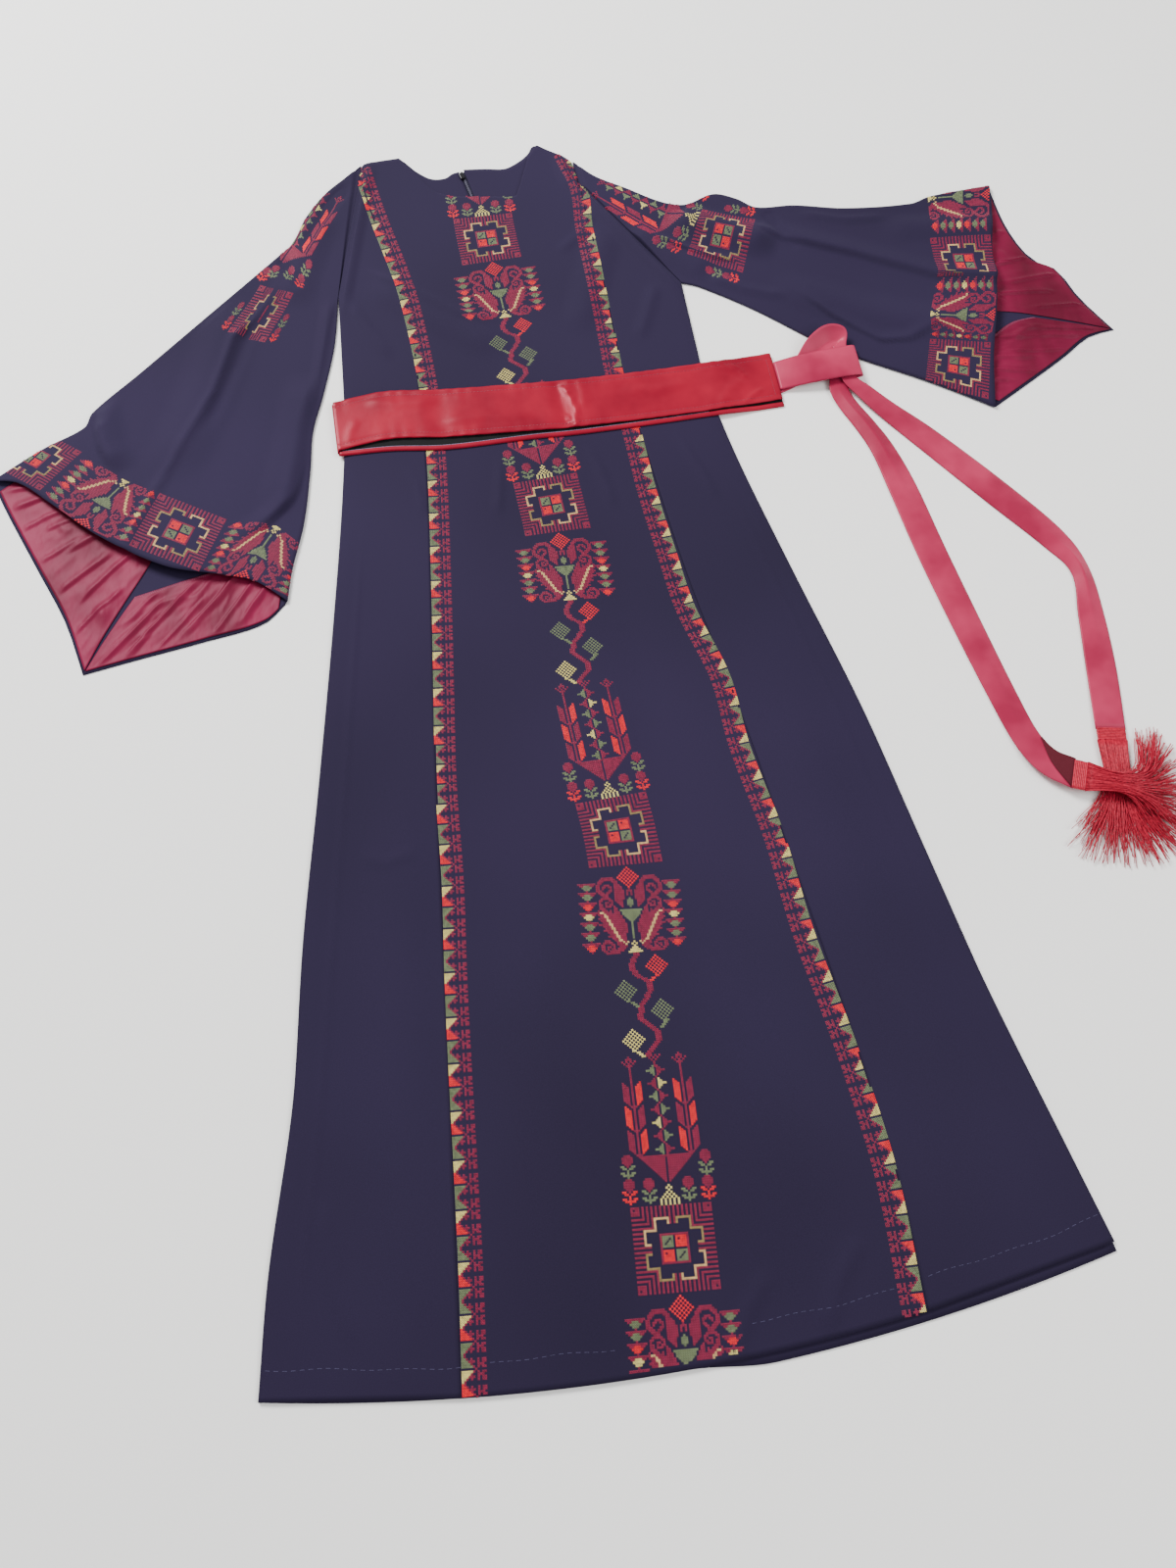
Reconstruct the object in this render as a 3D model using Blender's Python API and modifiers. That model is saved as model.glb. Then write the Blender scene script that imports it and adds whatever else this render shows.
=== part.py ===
# Embroidered long dress with bell sleeves, a satin sash belt and two thread tassels, laid flat.
# Metres, +Z up. The hem points to -Y and the neck to +Y. While the pieces are made, X = 0 is the
# centre front and Y = 0 the hem at the centre front. At the end the whole dress is moved so that
# the origin is the middle of its footprint on the table.

import math
import random

import bpy
import bmesh
from mathutils import Vector

# Cloth walls and the stack of layers, from the table up
CLOTH = 0.0012
SATIN = 0.0010
SEAM_GAP = 0.0003
ARMHOLE_GAP = 0.0004
FOLD_EASE = 0.0012           # the wall of a sleeve's outer fold leans this far into the armhole
FRONT_REST = 0.0020          # underside of the front, where it lies plainly on the back
FRONT_EDGE = 0.0015          # the same along the side seams, which are pressed down
SLEEVE_LOOP = 0.0032         # outer height of a flat sleeve at the armhole
MOUTH_LOOP = 0.0052          # outer height of a sleeve's side folds at its open mouth

# Body, a row for each height: height, left side, left seam, right seam, right side
BODY_ROWS = (
    (0.000, -0.388, -0.216, 0.201, 0.384),
    (0.120, -0.371, -0.205, 0.204, 0.364),
    (0.280, -0.338, -0.191, 0.194, 0.337),
    (0.440, -0.314, -0.177, 0.179, 0.314),
    (0.600, -0.284, -0.163, 0.164, 0.291),
    (0.780, -0.252, -0.145, 0.141, 0.256),
    (0.940, -0.226, -0.129, 0.128, 0.227),
    (1.060, -0.211, -0.122, 0.121, 0.214),
    (1.190, -0.202, -0.121, 0.122, 0.211),
    (1.300, -0.200, -0.142, 0.124, 0.211),
)
SIDE_LEFT, SEAM_LEFT, SEAM_RIGHT, SIDE_RIGHT = 1, 2, 3, 4
HEM_HALF_WIDTH = 0.386
HEM_RISE = 0.038             # the hem curves up from the centre front to the side seams
HEM_CURVE_FADE = 0.30        # height above which the rows are level
BACK_HEM_DROP = 0.008        # the back hem lies this much lower on the right
BODY_STEPS = 12              # rows from the hem to the bust
BUST_STEPS = 3               # rows from the bust to the underarm
ARMHOLE_STEPS = 5            # rows from the underarm to the shoulder
FRONT_LAST_MARK = 0.267      # share of the armhole where the side front's top row ends
BUST_HEIGHT = 1.060
SIDE_COLUMNS = 6
BACK_COLUMNS = 6

# Armholes, from the shoulder to the underarm: share of the armhole, x, y. They bend where the
# front's long seam meets them.
SEAM_MARK = 1 / 6
ARMHOLE_LEFT = ((0.0, -0.150, 1.446), (SEAM_MARK, -0.1555, 1.4235), (1.0, -0.201, 1.236))
ARMHOLE_RIGHT = ((0.0, 0.116, 1.412), (SEAM_MARK, 0.1185, 1.375), (1.0, 0.216, 1.194))

# Top edge of the front between the seams: share of the width, x, y
FRONT_TOP = (
    (0.00, -0.1555, 1.4235), (0.04, -0.150, 1.446), (0.10, -0.125, 1.449), (0.16, -0.102, 1.450),
    (0.21, -0.085, 1.423), (0.27, -0.072, 1.399), (0.32, -0.062, 1.383), (0.38, -0.047, 1.374),
    (0.46, -0.020, 1.369), (0.54, 0.005, 1.365), (0.62, 0.025, 1.362), (0.68, 0.037, 1.363),
    (0.73, 0.044, 1.379), (0.78, 0.053, 1.405), (0.82, 0.062, 1.429), (0.87, 0.075, 1.447),
    (0.92, 0.089, 1.435), (0.96, 0.116, 1.412), (1.00, 0.1185, 1.375),
)

# Top edge of each back from the centre back to the shoulder end: share of the width, x, y
BACK_TOP_LEFT = (
    (0.0, -0.031, 1.413), (0.15, -0.048, 1.406), (0.30, -0.066, 1.407), (0.45, -0.083, 1.424),
    (0.62, -0.102, 1.450), (0.80, -0.125, 1.449), (1.0, -0.150, 1.446),
)
BACK_TOP_RIGHT = (
    (0.0, -0.022, 1.416), (0.22, 0.005, 1.413), (0.42, 0.030, 1.410), (0.58, 0.050, 1.419),
    (0.70, 0.062, 1.434), (0.82, 0.075, 1.447), (1.0, 0.116, 1.412),
)

# Centre back line: height, x
CENTRE_BACK = ((0.0, 0.0), (1.10, 0.0), (1.20, -0.002), (1.30, -0.008), (1.369, -0.018), (1.412, -0.026))
ZIP_LOW = 0.92               # the zip runs from this height to the back neck
ZIP_HALF_WIDTH = 0.0026
ZIP_TAPER = 0.03             # length over which the slot opens to the zip's width
SLIDER_SIZE = (0.0060, 0.0100, 0.0030)
SLIDER_BEVEL = 0.0008

# Soft folds raised in the front: start x, y, end x, y, height, half width
BODY_FOLDS = (
    (-0.250, 0.050, -0.200, 0.620, 0.0030, 0.050),
    (-0.090, 0.020, -0.110, 0.420, 0.0022, 0.045),
    (0.090, 0.020, 0.070, 0.500, 0.0024, 0.055),
    (0.270, 0.060, 0.200, 0.650, 0.0032, 0.050),
    (0.020, 0.560, 0.010, 0.900, 0.0020, 0.060),
    (-0.150, 1.240, -0.020, 1.120, 0.0034, 0.030),
    (0.140, 1.300, 0.080, 1.160, 0.0030, 0.030),
)
BELT_FLATTENS = (0.985, 1.085, 0.050)    # low and high edge of the pressed strip, and its fade
SIDE_PRESS = 0.012           # width along the side seams over which the front comes down
SIDE_FADE = 0.050            # width over which its folds fade out

# Sleeves: outline points in plan, from the armhole to the mouth, then the hems from the outer
# corner to the inner one. The under hem is in two stretches that meet at the sleeve's point.
LEFT_SLEEVE = {
    "armhole": ARMHOLE_LEFT,
    "outer": ((-0.150, 1.446), (-0.174, 1.427), (-0.200, 1.405), (-0.230, 1.370), (-0.250, 1.328),
              (-0.291, 1.290), (-0.372, 1.219), (-0.442, 1.157), (-0.498, 1.108), (-0.508, 1.088),
              (-0.555, 1.065), (-0.612, 1.030)),
    "inner": ((-0.201, 1.236), (-0.212, 1.165), (-0.232, 1.094), (-0.249, 1.042), (-0.257, 0.988),
              (-0.270, 0.920), (-0.288, 0.862), (-0.297, 0.822)),
    "front_hem": ((-0.612, 1.030), (-0.581, 1.020), (-0.546, 0.986), (-0.493, 0.932),
                  (-0.423, 0.882), (-0.364, 0.863), (-0.329, 0.850), (-0.297, 0.822)),
    "under_outer": ((-0.612, 1.030), (-0.596, 0.986), (-0.562, 0.902), (-0.535, 0.835),
                    (-0.518, 0.768)),
    "under_inner": ((-0.518, 0.768), (-0.460, 0.777), (-0.391, 0.787), (-0.325, 0.799),
                    (-0.297, 0.822)),
}
RIGHT_SLEEVE = {
    "armhole": ARMHOLE_RIGHT,
    "outer": ((0.116, 1.412), (0.142, 1.382), (0.175, 1.358), (0.217, 1.327), (0.246, 1.318),
              (0.285, 1.330), (0.312, 1.318), (0.334, 1.300), (0.382, 1.296), (0.446, 1.281),
              (0.530, 1.275), (0.558, 1.283), (0.638, 1.289)),
    "inner": ((0.216, 1.194), (0.236, 1.185), (0.296, 1.139), (0.358, 1.082), (0.399, 1.050),
              (0.469, 1.006), (0.511, 0.977), (0.545, 0.952)),
    "front_hem": ((0.638, 1.289), (0.628, 1.248), (0.606, 1.175), (0.597, 1.127), (0.583, 1.081),
                  (0.562, 1.020), (0.545, 0.952)),
    "under_outer": ((0.638, 1.289), (0.642, 1.217), (0.658, 1.165), (0.683, 1.144),
                    (0.698, 1.096), (0.724, 1.042)),
    "under_inner": ((0.724, 1.042), (0.690, 1.036), (0.652, 1.012), (0.603, 0.984),
                    (0.545, 0.952)),
}
SLEEVE_COLUMNS = 12
SLEEVE_ROWS = 15
INNER_PACE = 2.0             # the rings' inner ends set off slowly from the underarm

# Folds raised in each sleeve's upper layer: start x, y, end x, y, height, half width
LEFT_SLEEVE_FOLDS = (
    (-0.300, 1.230, -0.420, 1.000, 0.0045, 0.045),
    (-0.250, 1.100, -0.290, 0.960, 0.0040, 0.030),
    (-0.470, 1.100, -0.500, 1.050, 0.0070, 0.030),
    (-0.210, 1.360, -0.260, 1.240, 0.0040, 0.035),
)
RIGHT_SLEEVE_FOLDS = (
    (0.240, 1.290, 0.330, 1.240, 0.0100, 0.034),
    (0.340, 1.160, 0.520, 1.070, 0.0045, 0.035),
    (0.400, 1.030, 0.500, 1.060, 0.0035, 0.030),
    (0.180, 1.270, 0.240, 1.220, 0.0040, 0.030),
)
MOUTH_LIFT = 0.0075          # how far the front hem stands up halfway along the mouth
MOUTH_LIFT_FROM = 0.70       # share of the sleeve's length where it starts to rise
MOUTH_ROUND = 0.8            # how full the raised hem's curve is
EDGE_FADE = 0.12             # share of width or length over which folds fade at a sleeve's edges
EDGE_STEP = 0.02             # share over which an edge's direction is taken

# Cuff facings, on the under layer inside the mouth
FACING_DEPTH = 0.115         # share of the sleeve's length that they cover
FACING_HEM_MARGIN = 0.006    # share of the length left bare at the hem
FACING_SIDE_MARGIN = 0.05    # share of the width left bare at the side folds
FACING_SLIT = 0.010          # share of the width between the two parts
FACING_COLUMNS = 6
FACING_ROWS = 3

# Belt band, folded double: x, middle y of the top layer, middle y of the under layer
BELT_WIDTH = 0.068
BELT_ROWS = (
    (-0.2225, 1.042, 1.036), (-0.164, 1.049, 1.034), (-0.100, 1.042, 1.026), (0.000, 1.035, 1.025),
    (0.060, 1.032, 1.023), (0.190, 1.031, 1.024), (0.2995, 1.036, 1.027),
)
BELT_BASE = 0.0036           # underside of the belt, over the front
BELT_FLOOR = 0.0004          # its underside past the right side of the dress
BELT_DROPS = (0.222, 0.275)  # where it comes down between the two
BELT_FOLD_RADIUS = 0.0017
BELT_STEPS = 14
BELT_ACROSS = 2

# Ties, a row for each section: x, y, middle z, width, angle across, tilt across, crown
UPPER_TIE = (
    (0.3000, 1.0360, 0.0032, 0.040, 90, 0, 0.0000),
    (0.3250, 1.0360, 0.0084, 0.041, 90, 0, 0.0008),
    (0.3500, 1.0365, 0.0112, 0.042, 90, 0, 0.0010),
    (0.3800, 1.0375, 0.0122, 0.043, 90, 0, 0.0008),
    (0.3950, 1.0380, 0.0116, 0.044, 90, 0, 0.0000),
    (0.3998, 1.0380, 0.0092, 0.044, 90, 0, 0.0000),
    (0.3945, 1.0375, 0.0069, 0.043, 91, 0, 0.0000),
    (0.3840, 1.0340, 0.0062, 0.034, 105, 0, 0.0000),
    (0.3740, 1.0220, 0.0054, 0.024, 140, 0, 0.0000),
    (0.3690, 1.0050, 0.0036, 0.021, 172, 0, 0.0010),
    (0.3740, 0.9850, 0.0018, 0.021, 196, 0, 0.0026),
    (0.3880, 0.9500, 0.0008, 0.024, 203, 0, 0.0040),
    (0.3990, 0.9150, 0.0008, 0.028, 197, 0, 0.0034),
    (0.4080, 0.8600, 0.0008, 0.033, 190, 0, 0.0020),
    (0.4180, 0.7700, 0.0008, 0.034, 188, 0, 0.0006),
    (0.4310, 0.6750, 0.0008, 0.033, 188, 0, 0.0014),
    (0.4440, 0.5900, 0.0008, 0.031, 190, 0, 0.0016),
    (0.4540, 0.5350, 0.0020, 0.030, 198, 0, 0.0008),
    (0.4660, 0.5030, 0.0066, 0.031, 222, 0, 0.0000),
    (0.4880, 0.4830, 0.0099, 0.034, 246, 0, 0.0000),
)
LOWER_TIE = (
    (0.3000, 1.0290, 0.0012, 0.034, 90, 0, 0.0000),
    (0.3180, 1.0330, 0.0014, 0.028, 102, 0, 0.0000),
    (0.3330, 1.0460, 0.0034, 0.024, 122, 10, 0.0000),
    (0.3500, 1.0650, 0.0085, 0.023, 112, 26, 0.0000),
    (0.3700, 1.0770, 0.0130, 0.022, 88, 34, 0.0000),
    (0.3860, 1.0750, 0.0130, 0.021, 50, 24, 0.0000),
    (0.3830, 1.0640, 0.0100, 0.017, 10, 4, 0.0000),
    (0.3805, 1.0480, 0.0091, 0.016, 0, 0, 0.0000),
    (0.3805, 1.0300, 0.0090, 0.016, 0, 0, 0.0000),
    (0.3840, 1.0120, 0.0089, 0.018, 8, 0, 0.0000),
    (0.3960, 0.9960, 0.0070, 0.021, 30, 0, 0.0000),
    (0.4180, 0.9680, 0.0024, 0.026, 38, 0, 0.0004),
    (0.4550, 0.9200, 0.0008, 0.033, 38, 0, 0.0016),
    (0.5120, 0.8380, 0.0008, 0.036, 37, 0, 0.0016),
    (0.5580, 0.7680, 0.0008, 0.032, 30, 0, 0.0020),
    (0.5760, 0.7220, 0.0008, 0.020, 12, 0, 0.0040),
    (0.5700, 0.6640, 0.0008, 0.029, -8, 0, 0.0020),
    (0.5600, 0.6000, 0.0008, 0.033, -10, 0, 0.0008),
    (0.5460, 0.5280, 0.0022, 0.032, -11, 0, 0.0000),
)
TIE_STEPS_EACH = 2           # sections made between two rows
TIE_ACROSS = 2

# Tassels: a bound head, and strands that fan out from its end face
HEAD_LENGTH = 0.012
HEAD_HEIGHT = 0.0042
TASSEL_COLUMNS = 12
TASSEL_LAYERS = 3
STRAND_LENGTH = 0.118
STRAND_FILL = 0.62           # share of its cell that a strand's root takes
STRAND_TIP = 0.72            # tip size over root size
STRAND_SECTIONS = 4
STRAND_FLOOR = 0.0010        # middle of the lowest strands' tips
STRAND_LEVEL = 0.0016        # how much higher the next layer's tips lie
# head x, y, heading in degrees, width, left spread, right spread, base, rise, where strands drop
UPPER_TASSEL = (0.4994, 0.4778, -24.0, 0.034, 46.0, 26.0, 0.0078, 0.0080, 0.55)
LOWER_TASSEL = (0.5436, 0.5157, -101.0, 0.032, 16.0, 32.0, 0.0004, 0.0010, 0.10)

COLLECTION = "embroidered_dress"


# Reading tables and drawing smooth curves

def between(a, b, share):
    return a + (b - a) * share


def smooth_step(low, high, value):
    share = min(max((value - low) / (high - low), 0.0), 1.0)
    return share * share * (3 - 2 * share)


def read_table(rows, column, key):
    # Smooth curve through a table's column, read at a value of its first column
    keys = [row[0] for row in rows]
    last = len(rows) - 1
    key = min(max(key, keys[0]), keys[-1])
    low = max(i for i in range(last) if keys[i] <= key)
    slopes = []
    for i in (low, low + 1):
        before, after = max(i - 1, 0), min(i + 1, last)
        slopes.append((rows[after][column] - rows[before][column]) / (keys[after] - keys[before]))
    step = keys[low + 1] - keys[low]
    u = (key - keys[low]) / step
    start, end = rows[low][column], rows[low + 1][column]
    return ((2 * u ** 3 - 3 * u ** 2 + 1) * start + (u ** 3 - 2 * u ** 2 + u) * step * slopes[0]
            + (3 * u ** 2 - 2 * u ** 3) * end + (u ** 3 - u ** 2) * step * slopes[1])


def by_length(points):
    # Table of share of length, x, y for a chain of points
    marks = [0.0]
    for a, b in zip(points, points[1:]):
        marks.append(marks[-1] + math.dist(a, b))
    return tuple((mark / marks[-1], *point) for mark, point in zip(marks, points))


def along(table, share):
    return Vector((read_table(table, 1, share), read_table(table, 2, share)))


def along_straight(table, share):
    # The same with straight runs between the table's points
    for (low, *a), (high, *b) in zip(table, table[1:]):
        if share <= high + 1e-9:
            return Vector(a).lerp(Vector(b), (share - low) / (high - low))
    return Vector(table[-1][1:])


def fold_height(folds, x, y):
    # Height of the soft folds at a place, each a rounded ridge that fades at its ends
    height = 0.0
    for x0, y0, x1, y1, rise, half_width in folds:
        run = Vector((x1 - x0, y1 - y0))
        place = Vector((x - x0, y - y0))
        share = place.dot(run) / run.length_squared
        side = abs(place.cross(run)) / run.length
        past_end = max(-share, share - 1.0, 0.0) * run.length
        reach = math.hypot(side, past_end) / half_width
        if reach < 1.0:
            height += rise * (0.5 + 0.5 * math.cos(math.pi * reach))
    return height


# Making solids

def add_material(name, color, roughness):
    material = bpy.data.materials.new(name)
    material.use_nodes = True
    shader = material.node_tree.nodes["Principled BSDF"]
    shader.inputs["Base Color"].default_value = (*color, 1.0)
    shader.inputs["Roughness"].default_value = roughness
    shader.inputs["Metallic"].default_value = 0.0
    return material


def add_object(name, mesh, material, home):
    obj = bpy.data.objects.new(name, mesh)
    obj.data.materials.append(material)
    home.objects.link(obj)
    return obj


def sheet_mesh(name, rows, closed=False):
    # Open surface through rows of points, or an open-ended tube where the rows are rings
    bm = bmesh.new()
    grid = [[bm.verts.new(point) for point in row] for row in rows]
    for low, high in zip(grid, grid[1:]):
        count = len(low)
        for i in range(count if closed else count - 1):
            j = (i + 1) % count
            bm.faces.new((low[i], low[j], high[j], high[i]))
    mesh = bpy.data.meshes.new(name)
    bm.to_mesh(mesh)
    bm.free()
    mesh.shade_smooth()
    return mesh


def thicken(obj, thickness, outward):
    # A shell: the surface is the side that is drawn, and the wall grows from it
    wall = obj.modifiers.new("wall", "SOLIDIFY")
    wall.thickness = thickness
    wall.offset = 1.0 if outward else -1.0
    wall.use_even_offset = True
    return obj


def add_panel(name, rows, material, home, thickness=CLOTH):
    # Rows of underside points, each from the left to the right; the wall grows upwards
    return thicken(add_object(name, sheet_mesh(name, rows), material, home), thickness, True)


# Body

def hem_lift(x, height):
    fade = 1.0 - min(height / HEM_CURVE_FADE, 1.0)
    return HEM_RISE * (x / HEM_HALF_WIDTH) ** 2 * fade


def body_point(column, height):
    x = read_table(BODY_ROWS, column, height)
    return Vector((x, height + hem_lift(x, height)))


def edge_points(seam_column, side_column, armhole):
    # The long seam and the side edge of one half of the body, row by row up to the seam's top
    seam, side = [], []
    for step in range(BODY_STEPS + 1):
        height = BUST_HEIGHT * step / BODY_STEPS
        seam.append(body_point(seam_column, height))
        side.append(body_point(side_column, height))
    seam_top = along_straight(armhole, SEAM_MARK)
    underarm = along_straight(armhole, 1.0)
    seam_bust, side_bust = seam[-1], side[-1]
    seam_underarm = body_point(seam_column, underarm.y)
    for step in range(1, BUST_STEPS + 1):
        share = step / BUST_STEPS
        seam.append(body_point(seam_column, between(seam_bust.y, underarm.y, share)))
        side.append(side_bust.lerp(underarm, share))
    for step in range(1, ARMHOLE_STEPS + 1):
        share = step / ARMHOLE_STEPS
        seam.append(seam_underarm.lerp(seam_top, share))
        side.append(along_straight(armhole, between(1.0, FRONT_LAST_MARK, share)))
    return seam, side


def front_rest(x, y, to_side):
    # Underside of the front at a place, to_side metres in from the side seam or armhole
    low, high, fade = BELT_FLATTENS
    free = 1.0 - smooth_step(low - fade, low, y) * (1.0 - smooth_step(high, high + fade, y))
    rest = between(FRONT_EDGE, FRONT_REST, smooth_step(0.0, SIDE_PRESS, to_side))
    return rest + fold_height(BODY_FOLDS, x, y) * free * smooth_step(0.0, SIDE_FADE, to_side)


def front_point(place, to_side):
    return (place.x, place.y, front_rest(place.x, place.y, to_side))


def add_centre_front(left, right, material, home):
    seam_left, side_left = left
    seam_right, side_right = right
    top_left, top_right = seam_left[-1], seam_right[-1]
    first_arm_row = BODY_STEPS + BUST_STEPS
    rows = []
    for k, (a, b) in enumerate(zip(seam_left, seam_right)):
        rise = max(k - first_arm_row, 0) / ARMHOLE_STEPS
        row = []
        for share, x, y in FRONT_TOP:
            place = a.lerp(b, share)
            if k <= BODY_STEPS:
                height = BUST_HEIGHT * k / BODY_STEPS
                place.y = height + hem_lift(place.x, height)
            place += (Vector((x, y)) - top_left.lerp(top_right, share)) * rise
            inset = SEAM_GAP / 2 * (1 if share == 0.0 else -1 if share == 1.0 else 0)
            place.x += inset
            to_side = min(place.x - side_left[k].x, side_right[k].x - place.x)
            row.append(front_point(place, to_side))
        rows.append(row)
    return add_panel("front_centre_panel", rows, material, home)


def add_side_front(name, edges, columns, outward, material, home):
    # outward is -1 for the wearer's right side, drawn on the left, and 1 for the other
    rows = []
    for seam, side in zip(*edges):
        row = []
        for i in range(columns + 1):
            place = seam.lerp(side, i / columns)
            if i == 0:
                place.x += SEAM_GAP / 2 * outward
            row.append(front_point(place, (place - side).length))
        rows.append(row if outward > 0 else row[::-1])
    return add_panel(name, rows, material, home)


def zip_half_width(height):
    open_share = smooth_step(ZIP_LOW, ZIP_LOW + ZIP_TAPER, height)
    return between(SEAM_GAP / 2, ZIP_HALF_WIDTH + SEAM_GAP, open_share)


def back_rows(side, armhole, top, outward, columns):
    # Rows of one back from the centre back to the side, then to the armhole
    top_centre = Vector(top[0][1:])
    outer = list(side[:BODY_STEPS + BUST_STEPS + 1])
    inner = []
    for k, place in enumerate(outer):
        height = BUST_HEIGHT * k / BODY_STEPS if k <= BODY_STEPS else place.y
        x = read_table(CENTRE_BACK, 1, height)
        inner.append(Vector((x + zip_half_width(height) * outward, height)))
    start = inner[-1].copy()
    marks = [between(1.0, SEAM_MARK, step / (ARMHOLE_STEPS - 1)) for step in range(1, ARMHOLE_STEPS)]
    for step, mark in enumerate(marks + [0.0], 1):
        height = between(start.y, top_centre.y, step / ARMHOLE_STEPS)
        x = read_table(CENTRE_BACK, 1, height)
        inner.append(Vector((x + zip_half_width(height) * outward, height)))
        outer.append(along_straight(armhole, mark))
    rows = []
    for k, (a, b) in enumerate(zip(inner, outer)):
        rise = max(k - BODY_STEPS - BUST_STEPS, 0) / ARMHOLE_STEPS
        row = []
        for i in range(columns + 1):
            share = i / columns
            place = a.lerp(b, share)
            if k <= BODY_STEPS:
                height = BUST_HEIGHT * k / BODY_STEPS
                drop = BACK_HEM_DROP * smooth_step(-0.02, 0.06, place.x) if k == 0 else 0.0
                place.y = height + hem_lift(place.x, height) - drop
            target = along(top, share) - inner[-1].lerp(outer[-1], share)
            place += target * rise ** 2
            row.append((place.x, place.y, 0.0))
        rows.append(row)
    return rows


def add_backs(left, right, material, home):
    columns = BACK_COLUMNS
    left_rows = back_rows(left[1], ARMHOLE_LEFT, BACK_TOP_LEFT, -1, columns)
    right_rows = back_rows(right[1], ARMHOLE_RIGHT, BACK_TOP_RIGHT, 1, columns)
    add_panel("back_panel_left", [row[::-1] for row in left_rows], material, home)
    add_panel("back_panel_right", right_rows, material, home)
    return left_rows, right_rows


def add_zip(left_rows, right_rows, chain_material, slider_material, home):
    # The closed chain fills the slot between the two backs
    rows = []
    for left, right in zip(left_rows, right_rows):
        if left[0][1] > ZIP_LOW + ZIP_TAPER:
            low, high = Vector(left[0]), Vector(right[0])
            low.x += SEAM_GAP
            high.x -= SEAM_GAP
            rows.append([tuple(low), tuple(high)])
    add_panel("back_zip_chain", rows, chain_material, home)
    top = (Vector(rows[-1][0]) + Vector(rows[-1][1])) / 2
    lean = math.atan2(rows[-2][0][0] - rows[-1][0][0], rows[-1][0][1] - rows[-2][0][1])
    bpy.ops.mesh.primitive_cube_add(size=1.0)
    slider = bpy.context.object
    slider.name = "back_zip_slider"
    slider.data.transform(((SLIDER_SIZE[0], 0, 0, 0), (0, SLIDER_SIZE[1], 0, 0),
                           (0, 0, SLIDER_SIZE[2], 0), (0, 0, 0, 1)))
    slider.location = (top.x, top.y - SLIDER_SIZE[1] * 0.7,
                       CLOTH + SEAM_GAP + SLIDER_SIZE[2] / 2)
    slider.rotation_euler = (0.0, 0.0, lean)
    slider.data.materials.append(slider_material)
    edge = slider.modifiers.new("edge", "BEVEL")
    edge.width = SLIDER_BEVEL
    edge.segments = 2
    for owner in slider.users_collection:
        owner.objects.unlink(slider)
    home.objects.link(slider)


# Sleeves

class Sleeve:
    # A flat tube between an armhole and a mouth. Its layers are stretched between four edges:
    # s runs from the armhole to the mouth, and t from the outer fold to the inner one.

    def __init__(self, shape, outward, folds):
        self.armhole = shape["armhole"]
        self.outer = by_length(shape["outer"])
        self.inner = by_length(shape["inner"])
        self.front_hem = by_length(shape["front_hem"])
        self.under_outer = by_length(shape["under_outer"])
        self.under_inner = by_length(shape["under_inner"])
        self.outward = outward
        self.folds = folds

    def hem(self, t, under):
        if not under:
            return along(self.front_hem, t)
        if t <= 0.5:
            return along(self.under_outer, t * 2)
        return along(self.under_inner, t * 2 - 1)

    def place(self, s, t, under):
        # Surface through four edges: the two ruled surfaces, less the one through the corners
        outer, inner = along(self.outer, s), along(self.inner, s ** INNER_PACE)
        arm, hem = along_straight(self.armhole, t), self.hem(t, under)
        ends = [along(self.outer, 0.0), along(self.inner, 0.0),
                along(self.outer, 1.0), along(self.inner, 1.0)]
        corners = ends[0].lerp(ends[1], t).lerp(ends[2].lerp(ends[3], t), s)
        place = outer.lerp(inner, t) + arm.lerp(hem, s) - corners
        ease = FOLD_EASE if t == 0.0 and s == 0.0 else 0.0
        place.x += (ARMHOLE_GAP + ease) * self.outward
        return place

    def loop_height(self, s):
        return between(SLEEVE_LOOP, MOUTH_LOOP, smooth_step(0.5, 1.0, s))

    def top_height(self, s, t):
        place = self.place(s, t, False)
        across = math.sin(math.pi * t)
        lift = MOUTH_LIFT * smooth_step(MOUTH_LIFT_FROM, 1.0, s) * across ** MOUTH_ROUND
        fade = math.prod(smooth_step(0.0, EDGE_FADE, share) for share in (t, 1.0 - t, s))
        return self.loop_height(s) + lift + fold_height(self.folds, place.x, place.y) * fade

    def ring(self, s):
        # Under layer from the outer fold to the inner one, then the upper layer back
        loop = self.loop_height(s)
        shares = [i / SLEEVE_COLUMNS for i in range(SLEEVE_COLUMNS + 1)]
        ring = [(*(self.place(s, t, True) + self.inset(s, t)), 0.0) for t in shares]
        ring.append((*self.place(s, 1.0, True), loop / 2))
        ring += [(*(self.place(s, t, False) + self.inset(s, t)), self.top_height(s, t))
                 for t in reversed(shares)]
        ring.append((*self.place(s, 0.0, True), loop / 2))
        return ring

    def inset(self, s, t):
        # The layers end half a loop inside the folds: along the ring at the outer fold, and square
        # to the edge at the inner one, whose loop is closed at the underarm
        half_loop = self.loop_height(s) / 2
        if t == 0.0:
            return (self.place(s, 1.0, False) - self.place(s, 0.0, False)).normalized() * half_loop
        if t == 1.0 and s > 0.0:
            edge = (self.place(min(s + EDGE_STEP, 1.0), 1.0, False)
                    - self.place(s - EDGE_STEP, 1.0, False))
            return Vector((-edge.y, edge.x)).normalized() * self.outward * half_loop
        return Vector((0.0, 0.0))


def add_sleeve(name, sleeve, material, home):
    rings = [sleeve.ring(i / SLEEVE_ROWS) for i in range(SLEEVE_ROWS + 1)]
    if sleeve.outward > 0:
        rings = rings[::-1]
    obj = add_object(name, sheet_mesh(name, rings, closed=True), material, home)
    return thicken(obj, CLOTH, False)


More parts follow.
